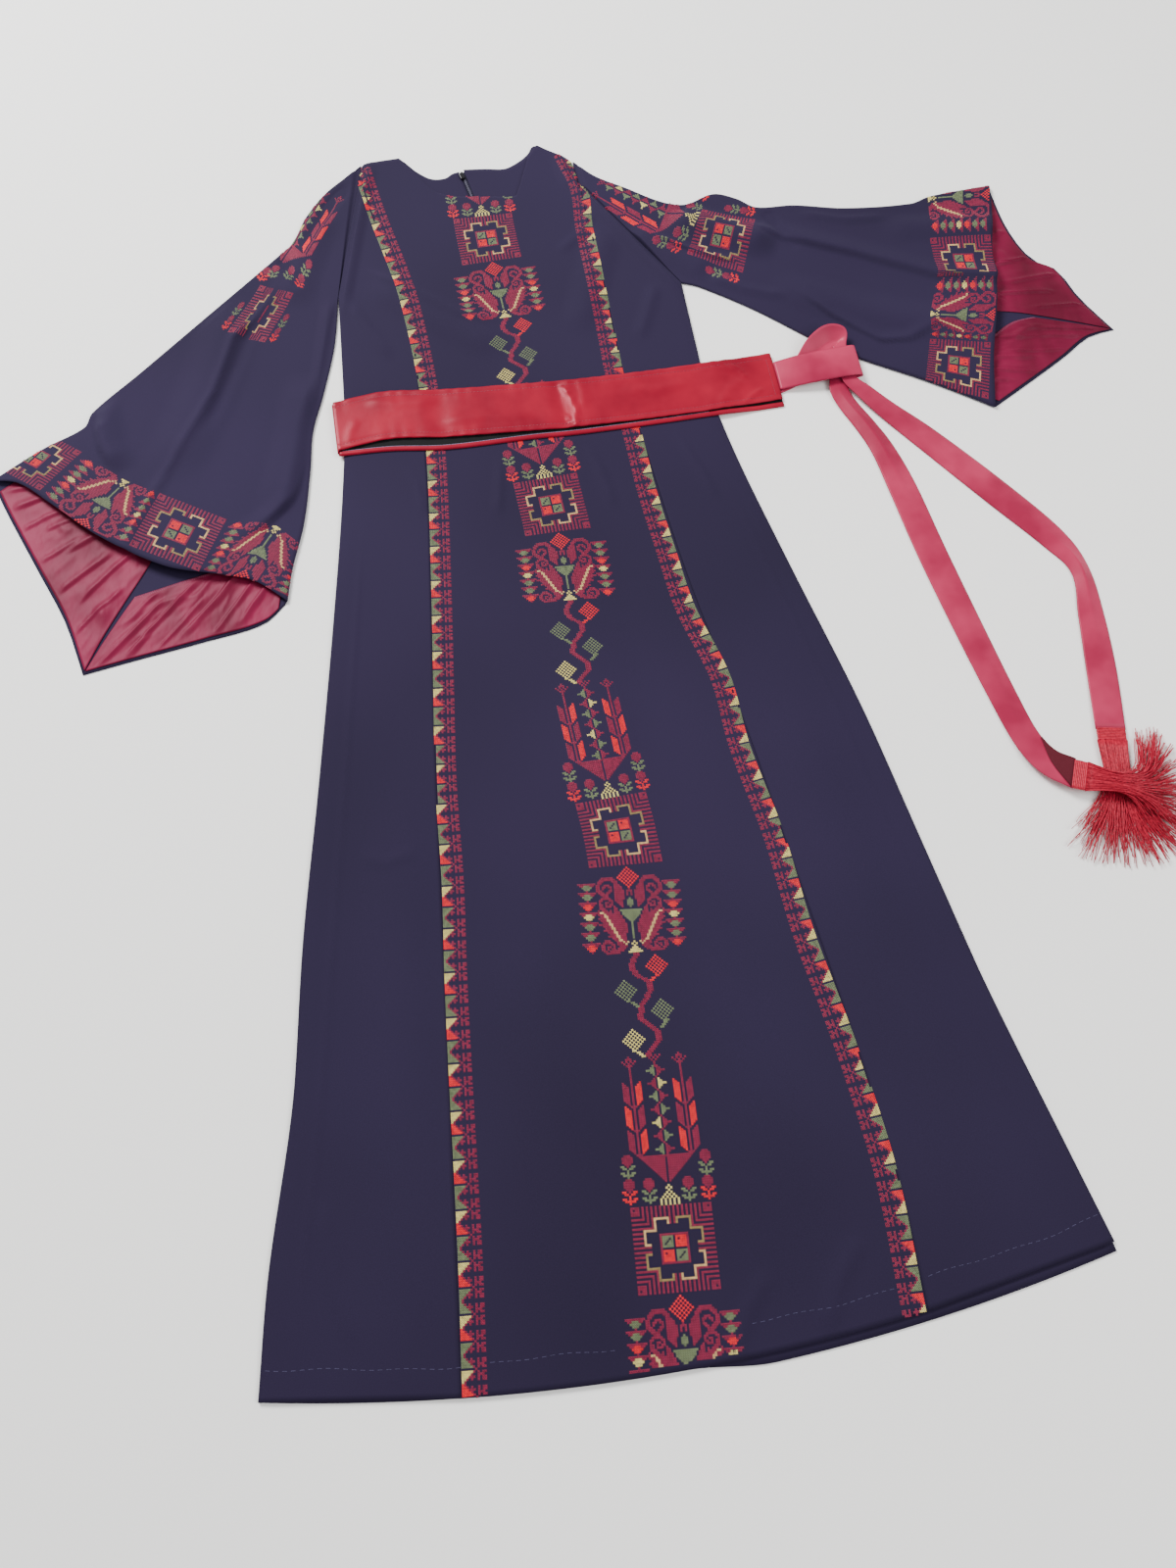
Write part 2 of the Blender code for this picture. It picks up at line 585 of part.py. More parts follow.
def add_facing(name, sleeve, t_low, t_high, material, home):
    # A satin strip along the under hem, on the inner face of the sleeve's under layer
    rows = []
    for j in range(FACING_ROWS + 1):
        s = 1.0 - FACING_HEM_MARGIN - FACING_DEPTH * j / FACING_ROWS
        row = []
        for i in range(FACING_COLUMNS + 1):
            place = sleeve.place(s, between(t_low, t_high, i / FACING_COLUMNS), True)
            row.append((place.x, place.y, CLOTH + SEAM_GAP))
        rows.append(row)
    if sleeve.outward > 0:
        rows = [row[::-1] for row in rows]
    return add_panel(name, rows, material, home, SATIN)


def add_facings(side, sleeve, material, home):
    inner_limit = 1.0 - FACING_SIDE_MARGIN
    halves = {
        "outer": (FACING_SIDE_MARGIN, 0.5 - FACING_SLIT / 2),
        "inner": (0.5 + FACING_SLIT / 2, inner_limit),
    }
    for part, (t_low, t_high) in halves.items():
        add_facing("cuff_facing_%s_%s" % (side, part), sleeve, t_low, t_high, material, home)


# Belt

def belt_height(x):
    return between(BELT_BASE, BELT_FLOOR, smooth_step(*BELT_DROPS, x))


def add_belt(material, home):
    # One band: the under layer from right to left, the fold, and the top layer back again
    left_end, right_end = BELT_ROWS[0][0], BELT_ROWS[-1][0]
    path = []
    for i in range(BELT_STEPS + 1):
        x = between(right_end, left_end, i / BELT_STEPS)
        path.append((x, read_table(BELT_ROWS, 2, x), belt_height(x)))
    fold_y = (BELT_ROWS[0][1] + BELT_ROWS[0][2]) / 2
    middle = belt_height(left_end) + BELT_FOLD_RADIUS
    for turn in (45, 90, 135):
        angle = math.radians(turn)
        path.append((left_end - BELT_FOLD_RADIUS * math.sin(angle), fold_y,
                     middle - BELT_FOLD_RADIUS * math.cos(angle)))
    for i in range(BELT_STEPS + 1):
        x = between(left_end, right_end, i / BELT_STEPS)
        path.append((x, read_table(BELT_ROWS, 1, x), belt_height(x) + 2 * BELT_FOLD_RADIUS))
    half = BELT_WIDTH / 2
    rows = [[(x, y + between(half, -half, i / BELT_ACROSS), z) for i in range(BELT_ACROSS + 1)]
            for x, y, z in path]
    return thicken(add_object("belt_band", sheet_mesh("belt_band", rows), material, home),
                   CLOTH, False)


def tie_sections(table):
    # Smooth sections through the table's rows
    keyed = [(i, *row) for i, row in enumerate(table)]
    count = (len(table) - 1) * TIE_STEPS_EACH
    return [[read_table(keyed, column, i / TIE_STEPS_EACH) for column in range(1, 8)]
            for i in range(count + 1)]


def add_tie(name, table, material, home):
    # A flat ribbon: its lower face is drawn where the ribbon starts with its right side up
    rows = []
    for x, y, z, width, turn, tilt, crown in tie_sections(table):
        turn, tilt = math.radians(turn), math.radians(tilt)
        across = Vector((math.cos(turn) * math.cos(tilt), math.sin(turn) * math.cos(tilt),
                         math.sin(tilt)))
        row = []
        for i in range(TIE_ACROSS + 1):
            share = i / TIE_ACROSS - 0.5
            point = Vector((x, y, z)) + across * width * share
            point.z += crown * (1.0 - 4.0 * share * share)
            row.append(tuple(point))
        rows.append(row)
    obj = thicken(add_object(name, sheet_mesh(name, rows), material, home), CLOTH, True)
    obj.modifiers["wall"].offset = 0.0
    return obj


# Tassels

def strand_path(column, layer, settings, rng):
    # Middle line of one strand in the head's own frame: x ahead, y to the left, z up
    _, _, _, width, left_spread, right_spread, base, rise, drop_from = settings
    share = (column + 0.5) / TASSEL_COLUMNS
    level = (layer + 0.5) / TASSEL_LAYERS
    spread = between(-right_spread, left_spread, share) + rng.uniform(-1.0, 1.0)
    spread *= between(1.0, 0.82, level)
    length = STRAND_LENGTH * rng.uniform(0.86, 1.04) * between(1.0, 0.92, layer / TASSEL_LAYERS)
    start_z = HEAD_HEIGHT * level
    end_z = STRAND_FLOOR + layer * STRAND_LEVEL - base
    points = []
    y = (share - 0.5) * width
    x = 0.0
    for i in range(STRAND_SECTIONS + 1):
        part = i / STRAND_SECTIONS
        if i:
            angle = math.radians(spread * min(1.0, 0.25 + 0.75 * part))
            x += math.cos(angle) * length / STRAND_SECTIONS
            y += math.sin(angle) * length / STRAND_SECTIONS
        hump = math.sin(math.pi * min(part * 1.15, 1.0)) * rise * between(0.55, 1.0, level)
        fall = smooth_step(drop_from, 1.0, part)
        points.append(Vector((x, y, between(start_z, end_z, fall) + hump)))
    return points


def add_tassel(name, settings, seed, material, home):
    # A bound head whose end face is a grid of cells, with one four-sided strand from each cell
    head_x, head_y, heading, width = settings[:4]
    rng = random.Random(seed)
    bm = bmesh.new()
    cell_y, cell_z = width / TASSEL_COLUMNS, HEAD_HEIGHT / TASSEL_LAYERS
    grid = [[bm.verts.new((0.0, i * cell_y - width / 2, j * cell_z))
             for i in range(TASSEL_COLUMNS + 1)] for j in range(TASSEL_LAYERS + 1)]
    for layer in range(TASSEL_LAYERS):
        for column in range(TASSEL_COLUMNS):
            frame = [grid[layer][column], grid[layer][column + 1],
                     grid[layer + 1][column + 1], grid[layer + 1][column]]
            path = strand_path(column, layer, settings, rng)
            ring = frame
            for i, middle in enumerate(path):
                size = STRAND_FILL * between(1.0, STRAND_TIP, i / STRAND_SECTIONS) / 2
                corners = [(-size, -size), (size, -size), (size, size), (-size, size)]
                ahead = path[min(i + 1, STRAND_SECTIONS)] - path[max(i - 1, 0)]
                turn = math.atan2(ahead.y, ahead.x) if i else 0.0
                thick = min(cell_y, cell_z)
                new_ring = []
                for dy, dz in corners:
                    side = Vector((-math.sin(turn), math.cos(turn), 0.0)) * dy * thick
                    new_ring.append(bm.verts.new(middle + side + Vector((0.0, 0.0, dz * thick))))
                for a in range(4):
                    b = (a + 1) % 4
                    bm.faces.new((ring[a], ring[b], new_ring[b], new_ring[a]))
                ring = new_ring
            bm.faces.new(ring)
    back = [bm.verts.new((-HEAD_LENGTH, y, z)) for y, z in (
        (-width / 2, 0.0), (width / 2, 0.0), (width / 2, HEAD_HEIGHT), (-width / 2, HEAD_HEIGHT))]
    left_edge = [row[-1] for row in grid]
    right_edge = [row[0] for row in grid]
    bm.faces.new(back[::-1])
    bm.faces.new([back[0], back[1]] + grid[0][::-1])
    bm.faces.new([back[2], back[3]] + grid[-1])
    bm.faces.new([back[1], back[2]] + left_edge[::-1])
    bm.faces.new([back[3], back[0]] + right_edge)
    bmesh.ops.recalc_face_normals(bm, faces=bm.faces)
    mesh = bpy.data.meshes.new(name)
    bm.to_mesh(mesh)
    bm.free()
    obj = add_object(name, mesh, material, home)
    obj.location = (head_x, head_y, settings[6])
    obj.rotation_euler = (0.0, 0.0, math.radians(heading))
    return obj


def centre_on_footprint(objects):
    # Moves the dress so that the origin is the middle of its footprint, on the table
    bpy.context.view_layer.update()
    shapes = bpy.context.evaluated_depsgraph_get()
    low, high = Vector((9.0, 9.0)), Vector((-9.0, -9.0))
    for obj in objects:
        seen = obj.evaluated_get(shapes)
        mesh = seen.to_mesh()
        for vertex in mesh.vertices:
            place = seen.matrix_world @ vertex.co
            low = Vector((min(low.x, place.x), min(low.y, place.y)))
            high = Vector((max(high.x, place.x), max(high.y, place.y)))
        seen.to_mesh_clear()
    middle = (low + high) / 2
    for obj in objects:
        obj.location.x -= middle.x
        obj.location.y -= middle.y


def main():
    for obj in list(bpy.data.objects):
        bpy.data.objects.remove(obj, do_unlink=True)
    home = bpy.data.collections.new(COLLECTION)
    bpy.context.scene.collection.children.link(home)

    crepe = add_material("navy_polyester_crepe", (0.030, 0.026, 0.070), 0.80)
    facing = add_material("burgundy_facing_satin", (0.190, 0.030, 0.066), 0.45)
    satin = add_material("crimson_belt_satin", (0.330, 0.034, 0.060), 0.38)
    thread = add_material("crimson_rayon_thread", (0.430, 0.030, 0.040), 0.50)
    nylon = add_material("navy_nylon_coil", (0.020, 0.018, 0.045), 0.50)
    enamel = add_material("black_enamelled_slider", (0.012, 0.012, 0.016), 0.35)

    left = edge_points(SEAM_LEFT, SIDE_LEFT, ARMHOLE_LEFT)
    right = edge_points(SEAM_RIGHT, SIDE_RIGHT, ARMHOLE_RIGHT)
    add_centre_front(left, right, crepe, home)
    add_side_front("front_side_panel_left", left, SIDE_COLUMNS, -1, crepe, home)
    add_side_front("front_side_panel_right", right, SIDE_COLUMNS, 1, crepe, home)
    left_rows, right_rows = add_backs(left, right, crepe, home)
    add_zip(left_rows, right_rows, nylon, enamel, home)

    for side, shape, outward, folds in (("left", LEFT_SLEEVE, -1, LEFT_SLEEVE_FOLDS),
                                        ("right", RIGHT_SLEEVE, 1, RIGHT_SLEEVE_FOLDS)):
        sleeve = Sleeve(shape, outward, folds)
        add_sleeve("sleeve_" + side, sleeve, crepe, home)
        add_facings(side, sleeve, facing, home)

    add_belt(satin, home)
    add_tie("belt_tie_upper", UPPER_TIE, satin, home)
    add_tie("belt_tie_lower", LOWER_TIE, satin, home)
    add_tassel("tassel_upper", UPPER_TASSEL, 5, thread, home)
    add_tassel("tassel_lower", LOWER_TASSEL, 9, thread, home)
    centre_on_footprint(list(home.objects))


main()
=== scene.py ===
import math
import random

import bpy
import bmesh
import numpy as np
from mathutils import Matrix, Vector
from mathutils.bvhtree import BVHTree


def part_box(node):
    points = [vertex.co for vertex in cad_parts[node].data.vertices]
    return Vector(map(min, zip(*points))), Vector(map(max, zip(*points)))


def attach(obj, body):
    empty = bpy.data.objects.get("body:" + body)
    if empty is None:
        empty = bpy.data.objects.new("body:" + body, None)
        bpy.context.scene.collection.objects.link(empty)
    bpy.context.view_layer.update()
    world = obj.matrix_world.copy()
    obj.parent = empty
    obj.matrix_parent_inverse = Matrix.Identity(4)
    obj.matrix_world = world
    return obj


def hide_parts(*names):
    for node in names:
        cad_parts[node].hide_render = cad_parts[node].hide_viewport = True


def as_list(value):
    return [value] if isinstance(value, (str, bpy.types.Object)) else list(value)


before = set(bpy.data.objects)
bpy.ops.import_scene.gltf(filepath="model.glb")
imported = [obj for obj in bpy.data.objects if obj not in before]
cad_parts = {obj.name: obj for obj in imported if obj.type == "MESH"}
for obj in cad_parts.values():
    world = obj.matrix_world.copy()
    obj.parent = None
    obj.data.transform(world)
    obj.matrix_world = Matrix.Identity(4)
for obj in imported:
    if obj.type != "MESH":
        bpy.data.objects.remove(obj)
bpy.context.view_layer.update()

# X = 0 is the centre front and Y = 0 the front hem while a piece is shaped. The dress is then
# moved onto the frame, whose centre panel starts 215.85 mm to the left of the centre front.
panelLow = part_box("front_centre_panel")[0]
shift = Vector((panelLow[0] + 0.21585, panelLow[1], 0.0))
mm = 0.001


# Camera, floor and light

view = {
    "place": (-0.1171, 0.0734, 1.2199),      # from the centre front of the hem
    "turn": (0.3858, -0.0183, -0.1716),      # radians, looking down at about 68 degrees
    "lens": 29.25,                           # mm on a 36 mm frame
    "floor": "fbfaf8",
    "keyPower": 210.0,
    "fillPower": 70.0,
    "skyStrength": 0.62,
}


def hexLinear(code):
    # sRGB hex to the linear values that shaders take
    values = [int(code[i:i + 2], 16) / 255 for i in (0, 2, 4)]
    return [v / 12.92 if v <= 0.04045 else ((v + 0.055) / 1.055) ** 2.4 for v in values] + [1.0]


def addNode(tree, kind, values=(), links=(), **settings):
    # values and links are pairs: an input's name or number, and a number or another node's output
    node = tree.nodes.new(kind)
    for name, value in settings.items():
        setattr(node, name, value)
    for key, value in values:
        node.inputs[key].default_value = value
    for key, output in links:
        tree.links.new(output, node.inputs[key])
    return node


def newMaterial(name, color, rough, **sockets):
    material = bpy.data.materials.new(name)
    material.use_nodes = True
    shader = material.node_tree.nodes["Principled BSDF"]
    shader.inputs["Base Color"].default_value = hexLinear(color)
    shader.inputs["Roughness"].default_value = rough
    for key, value in sockets.items():
        shader.inputs[key.replace("_", " ")].default_value = value
    material.diffuse_color = hexLinear(color)
    return material, material.node_tree, shader


def bumpOn(tree, shader, height, strength, depth):
    bump = addNode(tree, "ShaderNodeBump", [("Strength", strength), ("Distance", depth)],
                   [("Height", height)])
    tree.links.new(bump.outputs["Normal"], shader.inputs["Normal"])
    return bump


def setStage():
    scene = bpy.context.scene
    camera = bpy.data.cameras.new("camera")
    camera.lens = view["lens"]
    camera.sensor_width = 36.0
    camera.clip_start = 0.05
    camera.clip_end = 60.0
    eye = bpy.data.objects.new("camera", camera)
    eye.location = Vector(view["place"]) + shift
    eye.rotation_euler = view["turn"]
    scene.collection.objects.link(eye)
    scene.camera = eye

    bpy.ops.mesh.primitive_plane_add(size=14.0, location=(0.0, 0.0, -0.0004))
    floor = bpy.context.object
    floor.name = "floor"
    # uncoated paper: no gloss, so the dress casts a soft plain shadow on it
    paper, tree, shader = newMaterial("matt white paper", view["floor"], 0.9, Specular_IOR_Level=0.2)
    floor.data.materials.append(paper)

    lamps = (("keyLamp", (-1.5, 2.2, 2.4), 1.5, view["keyPower"]),
             ("fillLamp", (2.2, -1.2, 2.4), 2.2, view["fillPower"]))
    for name, place, size, power in lamps:
        lamp = bpy.data.lights.new(name, "AREA")
        lamp.shape = "DISK"
        lamp.size = size
        lamp.energy = power
        holder = bpy.data.objects.new(name, lamp)
        holder.location = place
        holder.rotation_euler = (Vector((0.0, 0.0, 0.0)) - Vector(place)).to_track_quat("-Z", "Y").to_euler()
        scene.collection.objects.link(holder)
    world = scene.world or bpy.data.worlds.new("studio")
    scene.world = world
    world.use_nodes = True
    sky = world.node_tree.nodes["Background"]
    sky.inputs["Color"].default_value = (1.0, 1.0, 1.0, 1.0)
    sky.inputs["Strength"].default_value = view["skyStrength"]


setStage()
print("stage set")


# Curves and folds

def between(a, b, share):
    return a + (b - a) * share


def smoothStep(low, high, value):
    share = min(max((value - low) / (high - low), 0.0), 1.0)
    return share * share * (3 - 2 * share)


def alongStraightValue(rows, key):
    key = min(max(key, rows[0][0]), rows[-1][0])
    for (a, low), (b, high) in zip(rows, rows[1:]):
        if key <= b:
            return between(low, high, (key - a) / (b - a))


def readCurve(rows, column, key):
    # Smooth curve through a table's column, read at a value of its first column
    last = len(rows) - 1
    key = min(max(key, rows[0][0]), rows[-1][0])
    low = max(i for i in range(last) if rows[i][0] <= key)
    slopes = []
    for i in (low, low + 1):
        before, after = rows[max(i - 1, 0)], rows[min(i + 1, last)]
        slopes.append((after[column] - before[column]) / (after[0] - before[0]))
    step = rows[low + 1][0] - rows[low][0]
    u = (key - rows[low][0]) / step
    return ((2 * u ** 3 - 3 * u ** 2 + 1) * rows[low][column]
            + (u ** 3 - 2 * u ** 2 + u) * step * slopes[0]
            + (3 * u ** 2 - 2 * u ** 3) * rows[low + 1][column]
            + (u ** 3 - u ** 2) * step * slopes[1])


def byLength(points):
    marks = [0.0]
    for a, b in zip(points, points[1:]):
        marks.append(marks[-1] + math.dist(a, b))
    return [(mark / marks[-1], *point) for mark, point in zip(marks, points)]


def alongCurve(rows, share):
    return Vector((readCurve(rows, 1, share), readCurve(rows, 2, share)))


def alongStraight(rows, share):
    for (low, *a), (high, *b) in zip(rows, rows[1:]):
        if share <= high + 1e-9:
            return Vector(a).lerp(Vector(b), (share - low) / (high - low))
    return Vector(rows[-1][1:])


def creaseHeight(creases, x, y):
    # Each crease: its path, height, half width, crispness from 0 soft to 1 sharp, and the side that
    # drops steeply: 1 right of its run, -1 left of it, 0 neither. It fades out at both ends
    height = 0.0
    for path, rise, halfWidth, crisp, steep in creases:
        away, at, run, side = 1.0, 0.0, 0.0, 0.0
        for (x0, y0), (x1, y1) in zip(path, path[1:]):
            runX, runY = x1 - x0, y1 - y0
            length = math.hypot(runX, runY)
            share = min(max(((x - x0) * runX + (y - y0) * runY) / length ** 2, 0.0), 1.0)
            offX, offY = x - x0 - share * runX, y - y0 - share * runY
            if math.hypot(offX, offY) < away:
                away, at, side = math.hypot(offX, offY), run + share * length, offX * runY - offY * runX
            run += length
        reach = away / halfWidth * (1.0 if side * steep <= 0 else 3.3)
        if reach < 1.0:
            soft = 0.5 + 0.5 * math.cos(math.pi * reach)
            fade = smoothStep(0.0, 0.22 * run, min(at, run - at))
            height += rise * between(soft, (1.0 - reach) ** 2, crisp) * fade
    return height


# Making cloth

def toFrame(point):
    return (point[0] + shift.x, point[1] + shift.y, point[2])


def gridMesh(name, rows, closed=False):
    # Surface through rows of points; closed joins each row's ends
    bm = bmesh.new()
    grid = [[bm.verts.new(toFrame(point)) for point in row] for row in rows]
    for low, high in zip(grid, grid[1:]):
        count = len(low)
        for i in range(count if closed else count - 1):
            j = (i + 1) % count
            bm.faces.new((low[i], low[j], high[j], high[i]))
    mesh = bpy.data.meshes.new(name)
    bm.to_mesh(mesh)
    bm.free()
    mesh.shade_smooth()
    return mesh


def addPiece(name, mesh, *materials):
    obj = bpy.data.objects.new(name, mesh)
    for material in materials:
        mesh.materials.append(material)
    bpy.context.scene.collection.objects.link(obj)
    return obj


def addCloth(name, rows, material, thickness, closed=False, inward=True):
    # A thin shell: the surface that is drawn is its outer side
    obj = addPiece(name, gridMesh(name, rows, closed), material)
    wall = obj.modifiers.new("cloth", "SOLIDIFY")
    wall.thickness = thickness
    wall.offset = -1.0 if inward else 1.0
    return obj


# Navy polyester crepe: twisted yarns give it a fine pebbled face that scatters light, so it is
# matt, with a faint bloom where it turns away

# The light and dark navy here are the two ends of broad patches painted over the cloth: painted light and
# painted shade
crepe = {"color": "241d34", "light": "29213a", "dark": "1f192d", "grainMm": 1.1, "thickness": 0.6 * mm}


def makeCrepe():
    material, tree, shader = newMaterial("navy polyester crepe", crepe["color"], 0.85,
                                         Sheen_Weight=0.06, Sheen_Roughness=0.45,
                                         Specular_IOR_Level=0.12)
    shader.inputs["Sheen Tint"].default_value = hexLinear("8f8ab8")
    place = addNode(tree, "ShaderNodeTexCoord")
    # Broad random patches from the dark to the light navy: painted light and painted shade. The fine grain
    # mixed in is the crepe's own pebbled tone
    lightAndShadePatch = addNode(tree, "ShaderNodeTexNoise", [("Scale", 2.2), ("Detail", 2.0)],
                    [("Vector", place.outputs["Object"])])
    grain = addNode(tree, "ShaderNodeTexNoise", [("Scale", 1.0 / (crepe["grainMm"] * mm)), ("Detail", 2.0)],
                    [("Vector", place.outputs["Object"])])
    blend = addNode(tree, "ShaderNodeMath", [(1, 0.35)], [(0, grain.outputs["Fac"])],
                    operation="MULTIPLY")
    total = addNode(tree, "ShaderNodeMath", [], [(0, lightAndShadePatch.outputs["Fac"]), (1, blend.outputs[0])],
                    operation="ADD")
    ramp = addNode(tree, "ShaderNodeValToRGB", [], [("Fac", total.outputs[0])])
    ramp.color_ramp.elements[0].position = 0.42
    ramp.color_ramp.elements[0].color = hexLinear(crepe["dark"])
    ramp.color_ramp.elements[1].position = 0.92
    ramp.color_ramp.elements[1].color = hexLinear(crepe["light"])
    tree.links.new(ramp.outputs["Color"], shader.inputs["Base Color"])
    bumpOn(tree, shader, grain.outputs["Fac"], 0.35, 0.25 * mm)
    return material


# Satin: long floats on its face give a broad soft highlight that runs across the threads

# The second colour of each satin is the same satin drawn darker in random patches: painted shade
satin = {"belt": "96142c", "beltPaintedShade": "7c0e24", "ribbon": "ae3252", "ribbonPaintedShade": "90203e",
         "facing": "781638", "facingPaintedShade": "540e24", "inside": "101012", "reverse": "5a0e20",
         "floatMm": 0.9, "sheen": 0.26}


def makeSatin(name, color, dark, rough, tint, wrinkleMm, wrinkleDepth, stretch=(1.0, 1.0, 1.0)):
    material, tree, shader = newMaterial(name, color, rough, Specular_IOR_Level=satin["sheen"])
    shader.inputs["Specular Tint"].default_value = hexLinear(tint)
    place = addNode(tree, "ShaderNodeTexCoord")
    scaled = addNode(tree, "ShaderNodeMapping", [("Scale", stretch)],
                     [("Vector", place.outputs["Object"])])
    # Random patches where the satin is drawn in its darker colour: painted shade
    shade = addNode(tree, "ShaderNodeTexNoise", [("Scale", 16.0), ("Detail", 3.0)],
                    [("Vector", scaled.outputs[0])])
    ramp = addNode(tree, "ShaderNodeValToRGB", [], [("Fac", shade.outputs["Fac"])])
    ramp.color_ramp.elements[0].position = 0.35
    ramp.color_ramp.elements[0].color = hexLinear(dark)
    ramp.color_ramp.elements[1].position = 0.65
    ramp.color_ramp.elements[1].color = hexLinear(color)
    tree.links.new(ramp.outputs["Color"], shader.inputs["Base Color"])
    wrinkle = addNode(tree, "ShaderNodeTexNoise", [("Scale", 1.0 / (wrinkleMm * mm)), ("Detail", 2.5),
                                                  ("Roughness", 0.45)],
                      [("Vector", scaled.outputs[0])])
    floats = addNode(tree, "ShaderNodeTexWave", [("Scale", 1.0 / (satin["floatMm"] * mm) / 3.0),
                                                ("Distortion", 0.6)],
                     [("Vector", place.outputs["Object"])], bands_direction="X")
    first = addNode(tree, "ShaderNodeBump", [("Strength", 0.10), ("Distance", 0.1 * mm)],
                    [("Height", floats.outputs["Fac"])])
    second = addNode(tree, "ShaderNodeBump", [("Strength", 0.6), ("Distance", wrinkleDepth)],
                     [("Height", wrinkle.outputs["Fac"]), ("Normal", first.outputs["Normal"])])
    tree.links.new(second.outputs["Normal"], shader.inputs["Normal"])
    return material


navyCrepe = makeCrepe()
beltSatin = makeSatin("crimson duchess satin", satin["belt"], satin["beltPaintedShade"], 0.34, "ff9aa8",
                      22.0, 0.5 * mm)
facingSatin = makeSatin("burgundy lining satin", satin["facing"], satin["facingPaintedShade"], 0.48, "e89ab0",
                        12.0, 1.6 * mm, (1.0, 0.45, 1.0))
ribbonSatin = makeSatin("crimson satin ribbon", satin["ribbon"], satin["ribbonPaintedShade"], 0.34, "ffa4b4",
                        26.0, 0.5 * mm)


def makeWoven(name, color, threadMm, rough=0.85):
    # Plain weave: a fine grid of threads, each painted a little lighter on its crown and darker between them,
    # a painted highlight and painted shade
    material, tree, shader = newMaterial(name, color, rough, Specular_IOR_Level=0.2)
    place = addNode(tree, "ShaderNodeTexCoord")
    waves = [addNode(tree, "ShaderNodeTexWave", [("Scale", 1.0 / (threadMm * mm) / 3.0), ("Distortion", 0.4)],
                     [("Vector", place.outputs["Object"])], bands_direction=axis) for axis in "XY"]
    weave = addNode(tree, "ShaderNodeMath", [], [(0, waves[0].outputs["Fac"]), (1, waves[1].outputs["Fac"])],
                    operation="MULTIPLY")
    ramp = addNode(tree, "ShaderNodeValToRGB", [], [("Fac", weave.outputs[0])])
    base = hexLinear(color)
    ramp.color_ramp.elements[0].color = [v * 0.6 for v in base[:3]] + [1.0]
    ramp.color_ramp.elements[1].color = [min(v * 1.25, 1.0) for v in base[:3]] + [1.0]
    tree.links.new(ramp.outputs["Color"], shader.inputs["Base Color"])
    bumpOn(tree, shader, weave.outputs[0], 0.4, 0.2 * mm)
    return material


# The interfacing's charcoal is drawn near black: partly its own colour, partly painted shade in the slit
# under the belt's top layer
beltInsidePaintedShade = makeWoven("charcoal woven interfacing", satin["inside"], 0.7)
ribbonReverse = makeWoven("dull burgundy satin reverse", satin["reverse"], 0.4, 0.7)


# Body of the dress

